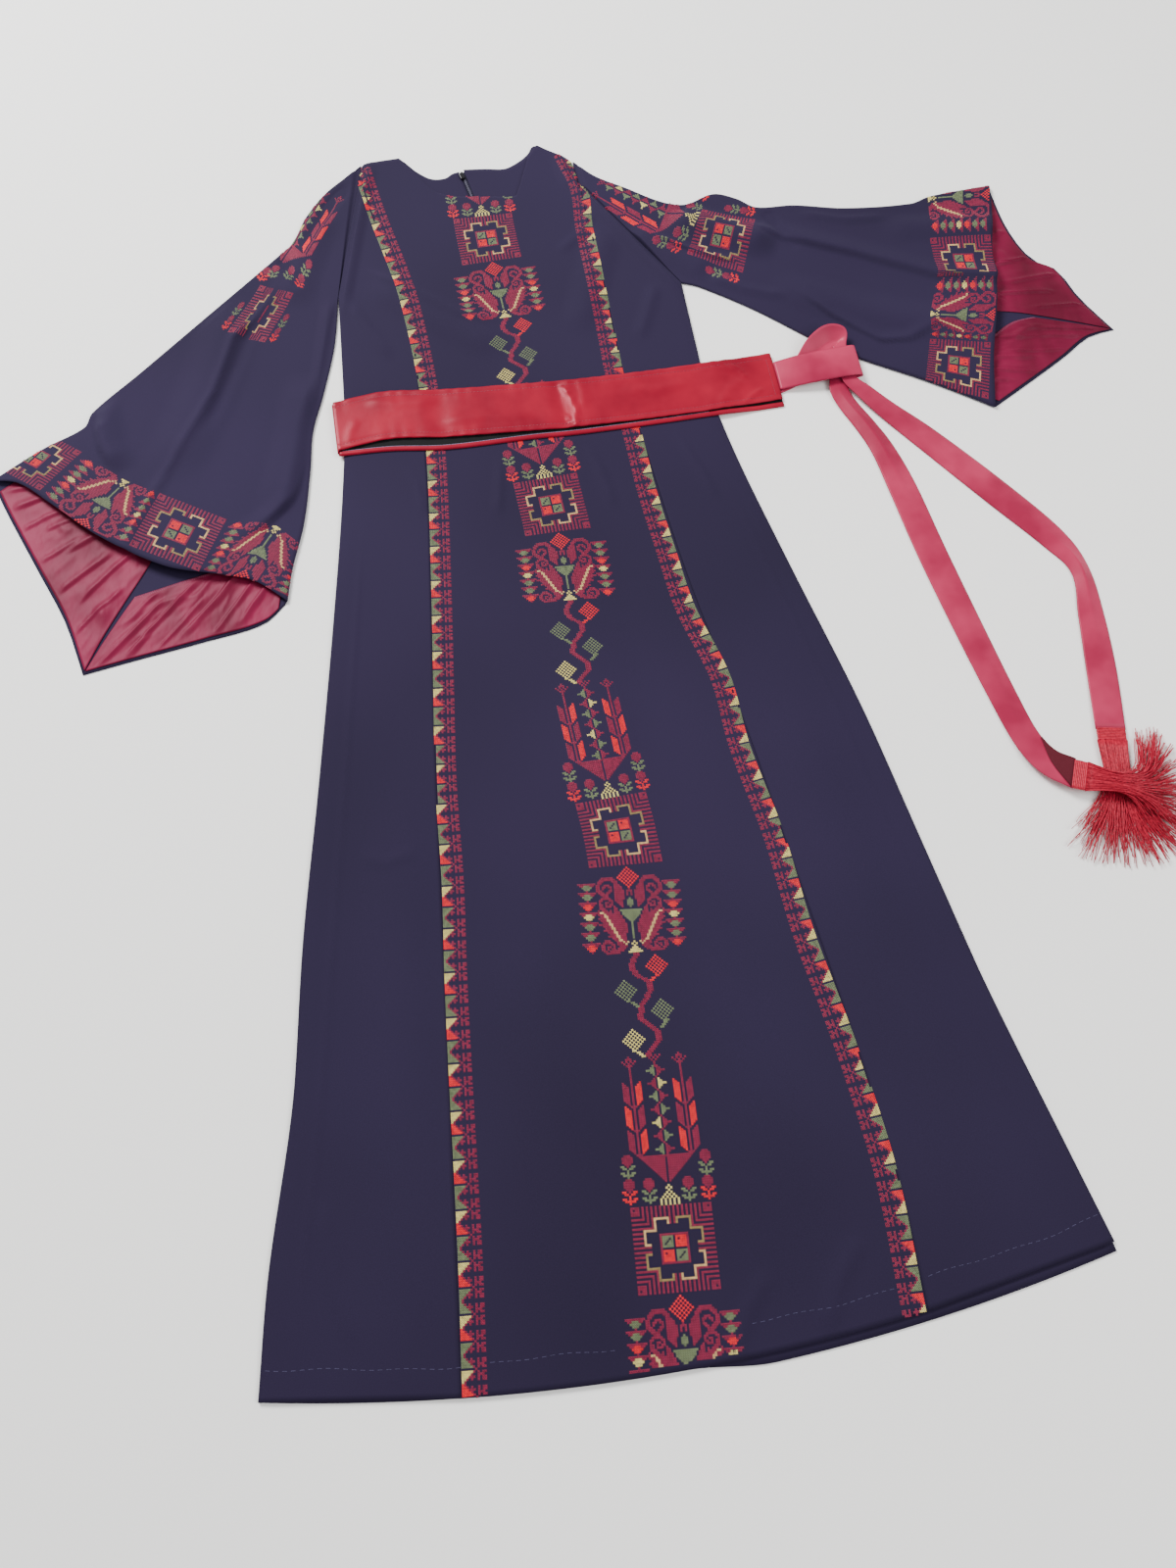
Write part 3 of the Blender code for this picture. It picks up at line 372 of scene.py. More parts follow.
body = {
    # height, left side, left seam, right seam, right side
    "rows": (
        (0.000, -0.388, -0.216, 0.201, 0.384), (0.120, -0.371, -0.205, 0.204, 0.364),
        (0.280, -0.338, -0.191, 0.194, 0.337), (0.440, -0.314, -0.177, 0.179, 0.314),
        (0.600, -0.284, -0.163, 0.164, 0.291), (0.780, -0.252, -0.145, 0.141, 0.256),
        (0.940, -0.226, -0.129, 0.128, 0.227), (1.060, -0.211, -0.122, 0.121, 0.214),
        (1.190, -0.202, -0.121, 0.122, 0.211), (1.300, -0.200, -0.142, 0.124, 0.211)),
    # share of the width, x, y of the front's top edge
    "frontTop": (
        (0.00, -0.1555, 1.4235), (0.04, -0.150, 1.446), (0.10, -0.125, 1.449), (0.16, -0.102, 1.450),
        (0.21, -0.085, 1.423), (0.27, -0.072, 1.399), (0.32, -0.062, 1.385), (0.38, -0.047, 1.377),
        (0.46, -0.020, 1.3715), (0.54, 0.005, 1.368), (0.62, 0.025, 1.3645), (0.68, 0.037, 1.3645),
        (0.73, 0.044, 1.381), (0.78, 0.053, 1.405), (0.82, 0.062, 1.429), (0.87, 0.075, 1.447),
        (0.92, 0.089, 1.435), (0.96, 0.116, 1.412), (1.00, 0.1185, 1.375)),
    # share of the width, x, y of the backs' top edges, from the centre back
    "backTopLeft": (
        (0.0, -0.0292, 1.4175), (0.07, -0.0380, 1.4155), (0.15, -0.048, 1.4092), (0.30, -0.066, 1.411),
        (0.45, -0.083, 1.426), (0.62, -0.102, 1.450), (0.80, -0.125, 1.449), (1.0, -0.150, 1.446)),
    "backTopRight": (
        (0.0, -0.0228, 1.4205), (0.22, 0.005, 1.4175), (0.42, 0.030, 1.4142), (0.58, 0.050, 1.424),
        (0.70, 0.062, 1.434), (0.82, 0.075, 1.447), (1.0, 0.116, 1.412)),
    "centreBack": ((0.0, 0.0), (1.10, 0.0), (1.20, -0.002), (1.30, -0.008), (1.369, -0.018), (1.417, -0.026)),
    "armholeLeft": ((0.0, -0.150, 1.446), (1 / 6, -0.1555, 1.4235), (1.0, -0.201, 1.236)),
    "armholeRight": ((0.0, 0.116, 1.412), (1 / 6, 0.1185, 1.375), (1.0, 0.216, 1.194)),
    "hemHalf": 0.386, "hemRise": 0.038, "hemFade": 0.30, "backDrop": 0.008,
    "bust": 1.060, "lowSteps": 190, "bustSteps": 26, "topSteps": 50, "columns": 88, "sideColumns": 38,
    "rest": 2.0 * mm, "edgeRest": 1.5 * mm, "solid": 1.2 * mm, "seamGap": 0.3 * mm,
    # how far in from the side each of these is at its full height
    "fades": {"rest": 0.012, "folds": 0.05, "creases": 0.02, "rims": 0.003},
    # share of the armhole where the side front's top row ends
    "lastMark": 0.175,
    # the backs' upper face, the zip's opening between them and the heights over which it opens,
    # and the span and rows over which the hem drops on the right
    "backColumns": 40, "backTop": 1.0 * mm, "zipHalf": 2.9 * mm, "zipOpens": (0.92, 0.95),
    "dropSpan": (-0.02, 0.06), "dropRows": 3,
    # broad folds: path, height, half width, crispness, steep side
    "folds": (
        (((-0.250, 0.050), (-0.228, 0.340), (-0.200, 0.620)), 0.0036, 0.050, 0.0, 0),
        (((-0.090, 0.020), (-0.102, 0.220), (-0.110, 0.420)), 0.0026, 0.045, 0.0, 0),
        (((0.090, 0.020), (0.086, 0.260), (0.070, 0.500)), 0.0028, 0.055, 0.0, 0),
        (((0.270, 0.060), (0.242, 0.340), (0.200, 0.650)), 0.0038, 0.050, 0.0, 0),
        (((0.020, 0.560), (0.016, 0.730), (0.010, 0.900)), 0.0024, 0.060, 0.0, 0),
        (((-0.165, 1.260), (-0.090, 1.185), (-0.010, 1.120)), 0.0040, 0.032, 0.0, 0),
        (((0.150, 1.310), (0.110, 1.220), (0.075, 1.130)), 0.0036, 0.030, 0.0, 0)),
    # fine creases on top of the folds, and the pressed lines beside the side seams
    "creases": (
        (((-0.168, 1.276), (-0.108, 1.228), (-0.062, 1.190), (-0.005, 1.166)), 0.0034, 0.013, 0.6, 0),
        (((-0.192, 1.230), (-0.172, 1.180), (-0.146, 1.130)), 0.0024, 0.015, 0.5, 0),
        (((0.186, 1.200), (0.166, 1.155), (0.146, 1.110)), 0.0024, 0.015, 0.5, 0),
        (((0.130, 1.330), (0.108, 1.290), (0.070, 1.262)), 0.0018, 0.012, 0.5, 0),
        (((-0.158, 0.990), (-0.140, 0.950), (-0.136, 0.905)), 0.0018, 0.010, 0.5, 0),
        (((-0.040, 0.990), (-0.046, 0.945), (-0.056, 0.890)), 0.0020, 0.011, 0.5, 0),
        (((0.056, 0.985), (0.068, 0.940), (0.078, 0.880)), 0.0020, 0.012, 0.5, 0),
        (((0.160, 0.990), (0.176, 0.940), (0.196, 0.875)), 0.0018, 0.010, 0.5, 0),
        (((-0.300, 0.060), (-0.314, 0.120), (-0.320, 0.200)), 0.0016, 0.014, 0.4, 0),
        (((-0.250, 0.520), (-0.228, 0.505), (-0.190, 0.512)), 0.0012, 0.010, 0.5, 0),
        (((0.105, 0.004), (0.128, 0.048), (0.160, 0.085)), 0.0026, 0.016, 0.5, 0),
        (((0.015, -0.005), (0.040, 0.035), (0.070, 0.070)), 0.0022, 0.014, 0.4, 0),
        (((-0.366, 0.010), (-0.312, 0.280), (-0.257, 0.600), (-0.200, 0.945)), 0.0011, 0.006, 1.0, 0),
        (((0.364, 0.010), (0.310, 0.280), (0.264, 0.600), (0.201, 0.945)), 0.0011, 0.006, 1.0, 0)),
    # the body's edge rolls over the sleeve's start
    "rims": (
        (((-0.136, 1.470), (-0.1475, 1.421), (-0.1930, 1.240), (-0.204, 1.190)), 0.0036, 0.014, 0.2, 1),
        (((0.100, 1.450), (0.1100, 1.378), (0.2080, 1.192), (0.232, 1.150)), 0.0052, 0.018, 0.2, -1)),
    # the backs lie on theirs, so their creases are shallow
    "backCreases": (
        (((-0.240, 0.060), (-0.215, 0.340), (-0.190, 0.640)), 0.0005, 0.030, 0.2, 0),
        (((-0.110, 0.080), (-0.095, 0.300), (-0.105, 0.560)), 0.0004, 0.022, 0.3, 0),
        (((0.110, 0.040), (0.130, 0.300), (0.100, 0.600)), 0.0005, 0.028, 0.2, 0),
        (((0.250, 0.090), (0.228, 0.300), (0.205, 0.520)), 0.0004, 0.022, 0.3, 0),
        (((-0.150, 0.960), (-0.090, 0.985), (-0.020, 0.972)), 0.0005, 0.014, 0.5, 0),
        (((0.020, 0.950), (0.090, 0.975), (0.165, 0.955)), 0.0005, 0.014, 0.5, 0),
        (((-0.170, 1.270), (-0.105, 1.215), (-0.040, 1.190)), 0.0005, 0.014, 0.5, 0),
        (((0.150, 1.300), (0.100, 1.240), (0.040, 1.205)), 0.0005, 0.014, 0.5, 0)),
    "flatten": (0.985, 1.085, 0.050),
}


def hemLift(x, height):
    fade = 1.0 - min(height / body["hemFade"], 1.0)
    return body["hemRise"] * (x / body["hemHalf"]) ** 2 * fade


def bodyPoint(column, height):
    x = readCurve(body["rows"], column, height)
    return Vector((x, height + hemLift(x, height)))


def frontTop(x, y, toSide):
    # Height of the front's upper face at a place, toSide metres in from its side
    low, high, fade = body["flatten"]
    free = 1.0 - smoothStep(low - fade, low, y) * (1.0 - smoothStep(high, high + fade, y))
    full = {kind: smoothStep(0.0, reach, toSide) for kind, reach in body["fades"].items()}
    rest = between(body["edgeRest"], body["rest"], full["rest"])
    soft = creaseHeight(body["folds"], x, y) * free * full["folds"]
    fine = creaseHeight(body["creases"], x, y) * free * full["creases"]
    rim = creaseHeight(body["rims"], x, y) * full["rims"]
    return rest + body["solid"] + soft + fine + rim


def edgeRun(seamColumn, sideColumn, armhole):
    # The long seam and the side edge of one half, from the hem up to the seam's top
    steps, seam, side = body["lowSteps"], [], []
    for i in range(steps + 1):
        height = body["bust"] * i / steps
        seam.append(bodyPoint(seamColumn, height))
        side.append(bodyPoint(sideColumn, height))
    seamTop, underarm = alongStraight(armhole, armhole[1][0]), alongStraight(armhole, 1.0)
    seamBust, sideBust = seam[-1], side[-1]
    seamUnderarm = bodyPoint(seamColumn, underarm.y)
    for i in range(1, body["bustSteps"] + 1):
        share = i / body["bustSteps"]
        seam.append(bodyPoint(seamColumn, between(seamBust.y, underarm.y, share)))
        side.append(sideBust.lerp(underarm, share))
    for i in range(1, body["topSteps"] + 1):
        share = i / body["topSteps"]
        seam.append(seamUnderarm.lerp(seamTop, share))
        side.append(alongStraight(armhole, between(1.0, body["lastMark"], share)))
    return seam, side


def makeFront(left, right):
    columns = body["columns"]
    seamLeft, sideLeft = left
    seamRight, sideRight = right
    firstTop = body["lowSteps"] + body["bustSteps"]
    top = body["frontTop"]
    rows = []
    for k, (a, b) in enumerate(zip(seamLeft, seamRight)):
        rise = max(k - firstTop, 0) / body["topSteps"]
        row = []
        for i in range(columns + 1):
            share = i / columns
            place = a.lerp(b, share)
            if k <= body["lowSteps"]:
                height = body["bust"] * k / body["lowSteps"]
                place.y = height + hemLift(place.x, height)
            target = alongStraight(top, share)
            place += (target - seamLeft[-1].lerp(seamRight[-1], share)) * rise
            place.x += body["seamGap"] / 2 * (1 if i == 0 else -1 if i == columns else 0)
            toSide = min(place.x - sideLeft[k].x, sideRight[k].x - place.x)
            row.append((place.x, place.y, frontTop(place.x, place.y, toSide)))
        rows.append(row)
    return rows


def makeSideFront(edges, outward):
    columns = body["sideColumns"]
    rows = []
    for seam, side in zip(*edges):
        row = []
        for i in range(columns + 1):
            place = seam.lerp(side, i / columns)
            if i == 0:
                place.x += body["seamGap"] / 2 * outward
            row.append((place.x, place.y, frontTop(place.x, place.y, (place - side).length)))
        rows.append(row if outward > 0 else row[::-1])
    return rows


def zipHalf(height):
    return between(body["seamGap"] / 2, body["zipHalf"], smoothStep(*body["zipOpens"], height))


def makeBack(side, armhole, top, outward):
    columns, underarmRow = body["backColumns"], body["lowSteps"] + body["bustSteps"]
    outer = list(side[:underarmRow + 1])
    inner = []
    for k, place in enumerate(outer):
        height = body["bust"] * k / body["lowSteps"] if k <= body["lowSteps"] else place.y
        inner.append(Vector((readCurve(body["centreBack"], 1, height) + zipHalf(height) * outward, height)))
    start, topCentre = inner[-1].copy(), Vector(top[0][1:])
    for i in range(1, body["topSteps"] + 1):
        share = i / body["topSteps"]
        height = between(start.y, topCentre.y, share)
        inner.append(Vector((readCurve(body["centreBack"], 1, height) + zipHalf(height) * outward, height)))
        outer.append(alongStraight(armhole, 1.0 - share))
    rows = []
    for k, (a, b) in enumerate(zip(inner, outer)):
        rise = max(k - underarmRow, 0) / body["topSteps"]
        row = []
        for i in range(columns + 1):
            share = i / columns
            place = a.lerp(b, share)
            if k <= body["lowSteps"]:
                height = body["bust"] * k / body["lowSteps"]
                drop = body["backDrop"] * smoothStep(*body["dropSpan"], place.x)
                drop *= 1.0 - smoothStep(0, body["dropRows"], k)
                place.y = height + hemLift(place.x, height) - drop
            place += (alongCurve(top, share) - inner[-1].lerp(outer[-1], share)) * rise ** 2
            height = body["backTop"] + creaseHeight(body["backCreases"], place.x, place.y)
            row.append((place.x, place.y, height))
        rows.append(row if outward > 0 else row[::-1])
    return rows


leftEdges = edgeRun(2, 1, body["armholeLeft"])
rightEdges = edgeRun(3, 4, body["armholeRight"])
frontCentre = addCloth("frontCentre", makeFront(leftEdges, rightEdges), navyCrepe, crepe["thickness"])
frontSideLeft = addCloth("frontSideLeft", makeSideFront(leftEdges, -1), navyCrepe, crepe["thickness"])
frontSideRight = addCloth("frontSideRight", makeSideFront(rightEdges, 1), navyCrepe, crepe["thickness"])
backLeft = addCloth("backLeft", makeBack(leftEdges[1], body["armholeLeft"], body["backTopLeft"], -1),
                    navyCrepe, crepe["thickness"])
backRight = addCloth("backRight", makeBack(rightEdges[1], body["armholeRight"], body["backTopRight"], 1),
                     navyCrepe, crepe["thickness"])
print("body made")


# Sleeves

sleeves = {
    "left": {
        "armhole": body["armholeLeft"], "outward": -1,
        "outer": ((-0.150, 1.446), (-0.174, 1.427), (-0.200, 1.405), (-0.228, 1.369), (-0.2485, 1.329),
                  (-0.2690, 1.3095), (-0.291, 1.290), (-0.372, 1.219), (-0.442, 1.157),
                  (-0.498, 1.108), (-0.508, 1.088), (-0.555, 1.065), (-0.612, 1.030)),
        "inner": ((-0.201, 1.236), (-0.212, 1.165), (-0.232, 1.094), (-0.249, 1.042), (-0.257, 0.988),
                  (-0.270, 0.920), (-0.288, 0.862), (-0.297, 0.822)),
        "frontHem": ((-0.612, 1.030), (-0.581, 1.020), (-0.546, 0.986), (-0.493, 0.932),
                     (-0.423, 0.882), (-0.364, 0.863), (-0.329, 0.850), (-0.297, 0.822)),
        "underOuter": ((-0.612, 1.030), (-0.596, 0.986), (-0.562, 0.902), (-0.535, 0.835), (-0.518, 0.768)),
        "underInner": ((-0.518, 0.768), (-0.460, 0.777), (-0.391, 0.787), (-0.325, 0.799), (-0.297, 0.822)),
        "folds": (
            (((-0.320, 1.260), (-0.360, 1.130), (-0.420, 0.990)), 0.0060, 0.045, 0.0, 0),
            (((-0.250, 1.130), (-0.268, 1.040), (-0.300, 0.930)), 0.0050, 0.030, 0.0, 0),
            (((-0.205, 1.380), (-0.232, 1.310), (-0.262, 1.225)), 0.0045, 0.032, 0.0, 0),
            # pressed crease down the sleeve and through its cuff
            (((-0.262, 1.292), (-0.283, 1.245), (-0.306, 1.212), (-0.330, 1.188), (-0.357, 1.114),
              (-0.429, 0.987), (-0.462, 0.921), (-0.492, 0.850)), 0.0036, 0.012, 0.85, 0),
            # fold along the inner side
            (((-0.236, 1.120), (-0.252, 1.030), (-0.272, 0.968), (-0.281, 0.951), (-0.312, 0.923),
              (-0.350, 0.905)), 0.0060, 0.024, 0.3, -1),
            # fullness that falls over the cuff's outer end
            (((-0.498, 1.150), (-0.490, 1.090), (-0.486, 1.055), (-0.470, 1.010)), 0.0085, 0.034, 0.2, 1),
            # hollows beside the shoulder's embroidery
            (((-0.165, 1.420), (-0.200, 1.380), (-0.240, 1.312)), -0.0028, 0.014, 0.2, 0),
            (((-0.266, 1.310), (-0.256, 1.285), (-0.244, 1.250)), -0.0030, 0.011, 0.3, 0),
            (((-0.300, 1.225), (-0.330, 1.150), (-0.375, 1.050)), -0.0022, 0.014, 0.3, 0),
            (((-0.210, 1.240), (-0.226, 1.160), (-0.240, 1.090)), 0.0030, 0.014, 0.4, 0),
            (((-0.520, 1.085), (-0.560, 1.062), (-0.600, 1.040)), 0.0020, 0.012, 0.4, 0)),
    },
    "right": {
        "armhole": body["armholeRight"], "outward": 1,
        "outer": ((0.116, 1.412), (0.142, 1.382), (0.175, 1.358), (0.217, 1.327), (0.246, 1.318),
                  (0.285, 1.330), (0.312, 1.318), (0.334, 1.300), (0.382, 1.296), (0.446, 1.281),
                  (0.530, 1.275), (0.558, 1.283), (0.638, 1.289)),
        "inner": ((0.216, 1.194), (0.236, 1.185), (0.296, 1.139), (0.358, 1.082), (0.399, 1.050),
                  (0.469, 1.006), (0.511, 0.977), (0.545, 0.952)),
        "frontHem": ((0.638, 1.289), (0.628, 1.248), (0.606, 1.175), (0.597, 1.127), (0.583, 1.081),
                     (0.562, 1.020), (0.545, 0.952)),
        "underOuter": ((0.638, 1.289), (0.642, 1.217), (0.658, 1.165), (0.683, 1.144), (0.698, 1.096),
                       (0.724, 1.042)),
        "underInner": ((0.724, 1.042), (0.690, 1.036), (0.652, 1.012), (0.603, 0.984), (0.545, 0.952)),
        "folds": (
            (((0.215, 1.305), (0.285, 1.265), (0.350, 1.232)), 0.0120, 0.036, 0.0, 0),
            (((0.320, 1.180), (0.430, 1.115), (0.550, 1.060)), 0.0055, 0.035, 0.0, 0),
            (((0.165, 1.290), (0.215, 1.240), (0.262, 1.200)), 0.0045, 0.030, 0.0, 0),
            (((0.480, 1.240), (0.560, 1.225), (0.640, 1.215)), 0.0045, 0.030, 0.0, 0),
            # the upper half laps over the lower, down to the hem
            (((0.300, 1.278), (0.358, 1.246), (0.440, 1.205), (0.500, 1.168), (0.528, 1.150), (0.598, 1.135),
              (0.690, 1.115)), 0.0062, 0.030, 0.3, 1),
            # creases below it
            (((0.350, 1.160), (0.385, 1.115), (0.436, 1.066), (0.470, 1.062), (0.520, 1.080)),
             0.0042, 0.016, 0.6, 1),
            (((0.190, 1.276), (0.222, 1.250), (0.262, 1.226), (0.300, 1.214)), 0.0038, 0.014, 0.5, 1),
            (((0.246, 1.200), (0.290, 1.172), (0.345, 1.150)), 0.0028, 0.014, 0.5, 0),
            # hollow at the foot of the puff
            (((0.225, 1.330), (0.252, 1.290), (0.262, 1.250)), -0.0035, 0.012, 0.3, 0),
            (((0.345, 1.300), (0.352, 1.262), (0.372, 1.222)), -0.0030, 0.014, 0.3, 0),
            (((0.380, 1.285), (0.440, 1.262), (0.500, 1.258)), 0.0024, 0.014, 0.4, 0)),
    },
    "columns": 108, "underColumns": 36, "rings": 170, "pace": 1.25,
    "gap": 0.4 * mm, "foldEase": 1.2 * mm, "innerPace": 2.0,
    "loop": 3.2 * mm, "mouthLoop": 5.2 * mm, "mouthLift": 7.5 * mm, "mouthFrom": 0.70, "mouthRound": 0.8,
    # share of the width over which the side folds round over, and how high they start and the lower
    # layer's turn lies, as shares of the loop
    "roundWidth": 0.012, "roundStart": 0.62, "turnHeight": 0.3,
    # shares of the width and length over which creases fade at a sleeve's edges, and the deepest
    # hollow as a share of the loop
    "fadeAcross": 0.10, "fadeAlong": 0.05, "deepest": 0.4, "underFade": 0.2, "underEdge": 0.004,
    # the seam sinks beside the body: how far, and the shares of the length where it rises again
    "sink": 0.78, "sinkEnds": (0.009, 0.028), "underCrease": 0.14,
}


class SleeveShape:
    # Layers stretched between four edges: s runs from armhole to mouth, t from the outer fold to
    # the inner one
    def __init__(self, shape):
        self.armhole, self.outward, self.folds = shape["armhole"], shape["outward"], shape["folds"]
        for key in ("outer", "inner", "frontHem", "underOuter", "underInner"):
            setattr(self, key, byLength(shape[key]))

    def hem(self, t, under):
        if not under:
            return alongCurve(self.frontHem, t)
        return alongCurve(self.underOuter, t * 2) if t <= 0.5 else alongCurve(self.underInner, t * 2 - 1)

    def place(self, s, t, under):
        outer, inner = alongCurve(self.outer, s), alongCurve(self.inner, s ** sleeves["innerPace"])
        arm, hem = alongStraight(self.armhole, t), self.hem(t, under)
        ends = [Vector(row[1:]) for row in (self.outer[0], self.inner[0], self.outer[-1], self.inner[-1])]
        corners = ends[0].lerp(ends[1], t).lerp(ends[2].lerp(ends[3], t), s)
        place = outer.lerp(inner, t) + arm.lerp(hem, s) - corners
        ease = sleeves["foldEase"] * (1.0 - smoothStep(0.0, 0.05, t)) * (1.0 - smoothStep(0.0, 0.06, s))
        place.x += (sleeves["gap"] + ease) * self.outward
        return place

    def loop(self, s):
        return between(sleeves["loop"], sleeves["mouthLoop"], smoothStep(0.5, 1.0, s))

    def topHeight(self, s, t, place):
        lift = sleeves["mouthLift"] * smoothStep(sleeves["mouthFrom"], 1.0, s)
        lift *= math.sin(math.pi * t) ** sleeves["mouthRound"]
        across, width = sleeves["fadeAcross"], sleeves["roundWidth"]
        fade = smoothStep(0.0, across, t) * smoothStep(0.0, across, 1.0 - t)
        fade *= smoothStep(0.0, sleeves["fadeAlong"], s)
        rounded = math.sqrt(max(1.0 - (1.0 - min(t, 1.0 - t, width) / width) ** 2, 0.0))
        sunk = 1.0 - sleeves["sink"] * (1.0 - smoothStep(*sleeves["sinkEnds"], s))
        deepest = -sleeves["deepest"] * self.loop(s)
        creased = max(creaseHeight(self.folds, place.x, place.y) * fade, deepest)
        return self.loop(s) * between(sleeves["roundStart"], 1.0, rounded) * sunk + lift + creased

    def ring(self, s):
        ring = []
        for under, count in ((True, sleeves["underColumns"]), (False, sleeves["columns"])):
            shares = [0.5 - 0.5 * math.cos(math.pi * i / count) for i in range(count + 1)]
            for t in shares if under else reversed(shares):
                place = self.place(s, t, under)
                if not under:
                    height = self.topHeight(s, t, place)
                elif sleeves["underEdge"] < t < 1.0 - sleeves["underEdge"]:
                    inside = smoothStep(0.0, sleeves["underFade"], t)
                    inside *= smoothStep(0.0, sleeves["underFade"], 1.0 - t)
                    creased = max(creaseHeight(self.folds, place.x, place.y), 0.0)
                    height = sleeves["underCrease"] * creased * inside
                else:
                    height = self.loop(s) * sleeves["turnHeight"]
                ring.append((place.x, place.y, height))
        return ring


def makeSleeve(name, shape):
    rings = [shape.ring((i / sleeves["rings"]) ** sleeves["pace"]) for i in range(sleeves["rings"] + 1)]
    if shape.outward > 0:
        rings = rings[::-1]
    return addCloth(name, rings, navyCrepe, crepe["thickness"], closed=True)


sleeveShapeLeft, sleeveShapeRight = SleeveShape(sleeves["left"]), SleeveShape(sleeves["right"])
sleeveLeft = makeSleeve("sleeveLeft", sleeveShapeLeft)
sleeveRight = makeSleeve("sleeveRight", sleeveShapeRight)
print("sleeves made")


# Facings inside the sleeve mouths, puckered where they are caught at their edges

facings = {
    "columns": 110, "rows": 46, "base": 1.6 * mm, "thickness": 0.4 * mm,
    # small puckers: count, height, half widths, leans in radians, and shares of the height; ease
    # scales the wrinkles, floor is the deepest hollow and edge the share that lies flat at the border
    "puckers": 120, "pucker": 0.9 * mm, "sizes": (0.0026, 0.0060), "leans": (0.0, 1.5),
    "rises": (-0.6, 1.0), "ease": 0.55, "floor": -0.4 * mm, "edge": 0.10,
    # part: name, share of the sleeve's length covered, share of the width from and to, its own size
    "parts": (("Outer", 0.185, 0.030, 0.488, 0.26, 0.10), ("Inner", 0.115, 0.512, 0.968, 0.21, 0.07)),
    "hemMargin": 0.005,
    # how much nearer the two parts come at the hem, and how much more the right ones are wrinkled
    "meet": 0.0105, "rightWrinkled": 1.7,
    # wrinkles on a part, measured along and in from the hem
    "wrinkles": {
        "Outer": (
            (((0.000, 0.000), (0.024, 0.030), (0.048, 0.056)), 0.0034, 0.009, 0.4, 1),
            (((0.026, -0.006), (0.050, 0.040), (0.088, 0.090)), 0.0040, 0.011, 0.3, 1),
            (((0.060, -0.004), (0.072, 0.026), (0.086, 0.050)), 0.0030, 0.008, 0.4, 1),
            (((0.080, 0.014), (0.106, 0.052), (0.132, 0.098)), 0.0038, 0.011, 0.3, 1),
            (((0.108, -0.004), (0.122, 0.022), (0.134, 0.048)), 0.0028, 0.008, 0.4, 1),
            (((0.128, 0.022), (0.150, 0.060), (0.172, 0.104)), 0.0040, 0.012, 0.3, 1),
            (((0.156, -0.004), (0.172, 0.030), (0.190, 0.064)), 0.0032, 0.009, 0.4, 1),
            (((0.192, 0.012), (0.206, 0.052), (0.224, 0.096)), 0.0036, 0.011, 0.3, 1),
            (((0.212, -0.004), (0.228, 0.030), (0.246, 0.060)), 0.0030, 0.008, 0.4, 1),
            (((0.012, 0.056), (0.036, 0.076), (0.070, 0.104)), 0.0034, 0.009, 0.4, 1),
            (((0.094, 0.060), (0.124, 0.068), (0.156, 0.066)), 0.0024, 0.008, 0.5, 0),
            (((0.176, 0.078), (0.206, 0.084), (0.244, 0.080)), 0.0026, 0.008, 0.5, 0),
            (((0.040, 0.014), (0.080, 0.020), (0.120, 0.012)), -0.0012, 0.009, 0.2, 0)),
        "Inner": (
            (((0.006, -0.004), (0.030, 0.026), (0.050, 0.060)), 0.0030, 0.009, 0.4, -1),
            (((0.036, -0.004), (0.054, 0.028), (0.086, 0.072)), 0.0036, 0.010, 0.3, -1),
            (((0.070, -0.002), (0.092, 0.024), (0.106, 0.046)), 0.0028, 0.008, 0.4, -1),
            (((0.098, 0.010), (0.120, 0.036), (0.146, 0.074)), 0.0036, 0.011, 0.3, -1),
            (((0.130, -0.004), (0.148, 0.024), (0.164, 0.050)), 0.0028, 0.008, 0.4, -1),
            (((0.160, 0.004), (0.178, 0.032), (0.200, 0.066)), 0.0032, 0.010, 0.3, -1),
            (((0.020, 0.046), (0.060, 0.052), (0.104, 0.044)), 0.0022, 0.008, 0.5, 0)),
    },
}


def makeFacing(name, shape, part, seed):
    kind, depth, low, high, length, reach = part
    rng = random.Random(seed)
    puckers = [(rng.uniform(0.0, length), rng.uniform(0.0, reach), rng.uniform(*facings["leans"]),
                rng.uniform(*facings["sizes"]), rng.uniform(*facings["rises"]))
               for _ in range(facings["puckers"])]
    rows = []
    for j in range(facings["rows"] + 1):
        across = j / facings["rows"]
        s = 1.0 - facings["hemMargin"] - depth * across
        row = []
        for i in range(facings["columns"] + 1):
            share = i / facings["columns"]
            meet = facings["meet"] * (1.0 - across)
            ends = (low, high + meet) if high < 0.5 else (low - meet, high)
            place = shape.place(s, between(*ends, share), True)
            u, v = share * length, across * reach
            wave = creaseHeight(facings["wrinkles"][kind], u, v) * facings["ease"]
            wave *= facings["rightWrinkled"] if "Right" in name else 1.0
            for atU, atV, lean, size, rise in puckers:
                along = (u - atU) * math.cos(lean) + (v - atV) * math.sin(lean)
                off = (v - atV) * math.cos(lean) - (u - atU) * math.sin(lean)
                if abs(off) < 2 * size and abs(along) < 6 * size:
                    wave += facings["pucker"] * rise * math.exp(-(off / size) ** 2 - (along / size / 3) ** 2)
            edge = min(across, 1.0 - across, share * 2, (1.0 - share) * 2) / facings["edge"]
            height = facings["base"] + max(wave, facings["floor"]) * min(edge, 1.0)
            row.append((place.x, place.y, height))
        rows.append(row)
    if shape.outward > 0:
        rows = [row[::-1] for row in rows]
    return addCloth(name, rows, facingSatin, facings["thickness"])


facingPieces = {}
for side, shape in (("Left", sleeveShapeLeft), ("Right", sleeveShapeRight)):
    for number, part in enumerate(facings["parts"]):
        name = "facing" + side + part[0]
        facingPieces[name] = makeFacing(name, shape, part, len(side) * 3 + number)
print("facings made")


# Belt: a padded satin band folded double

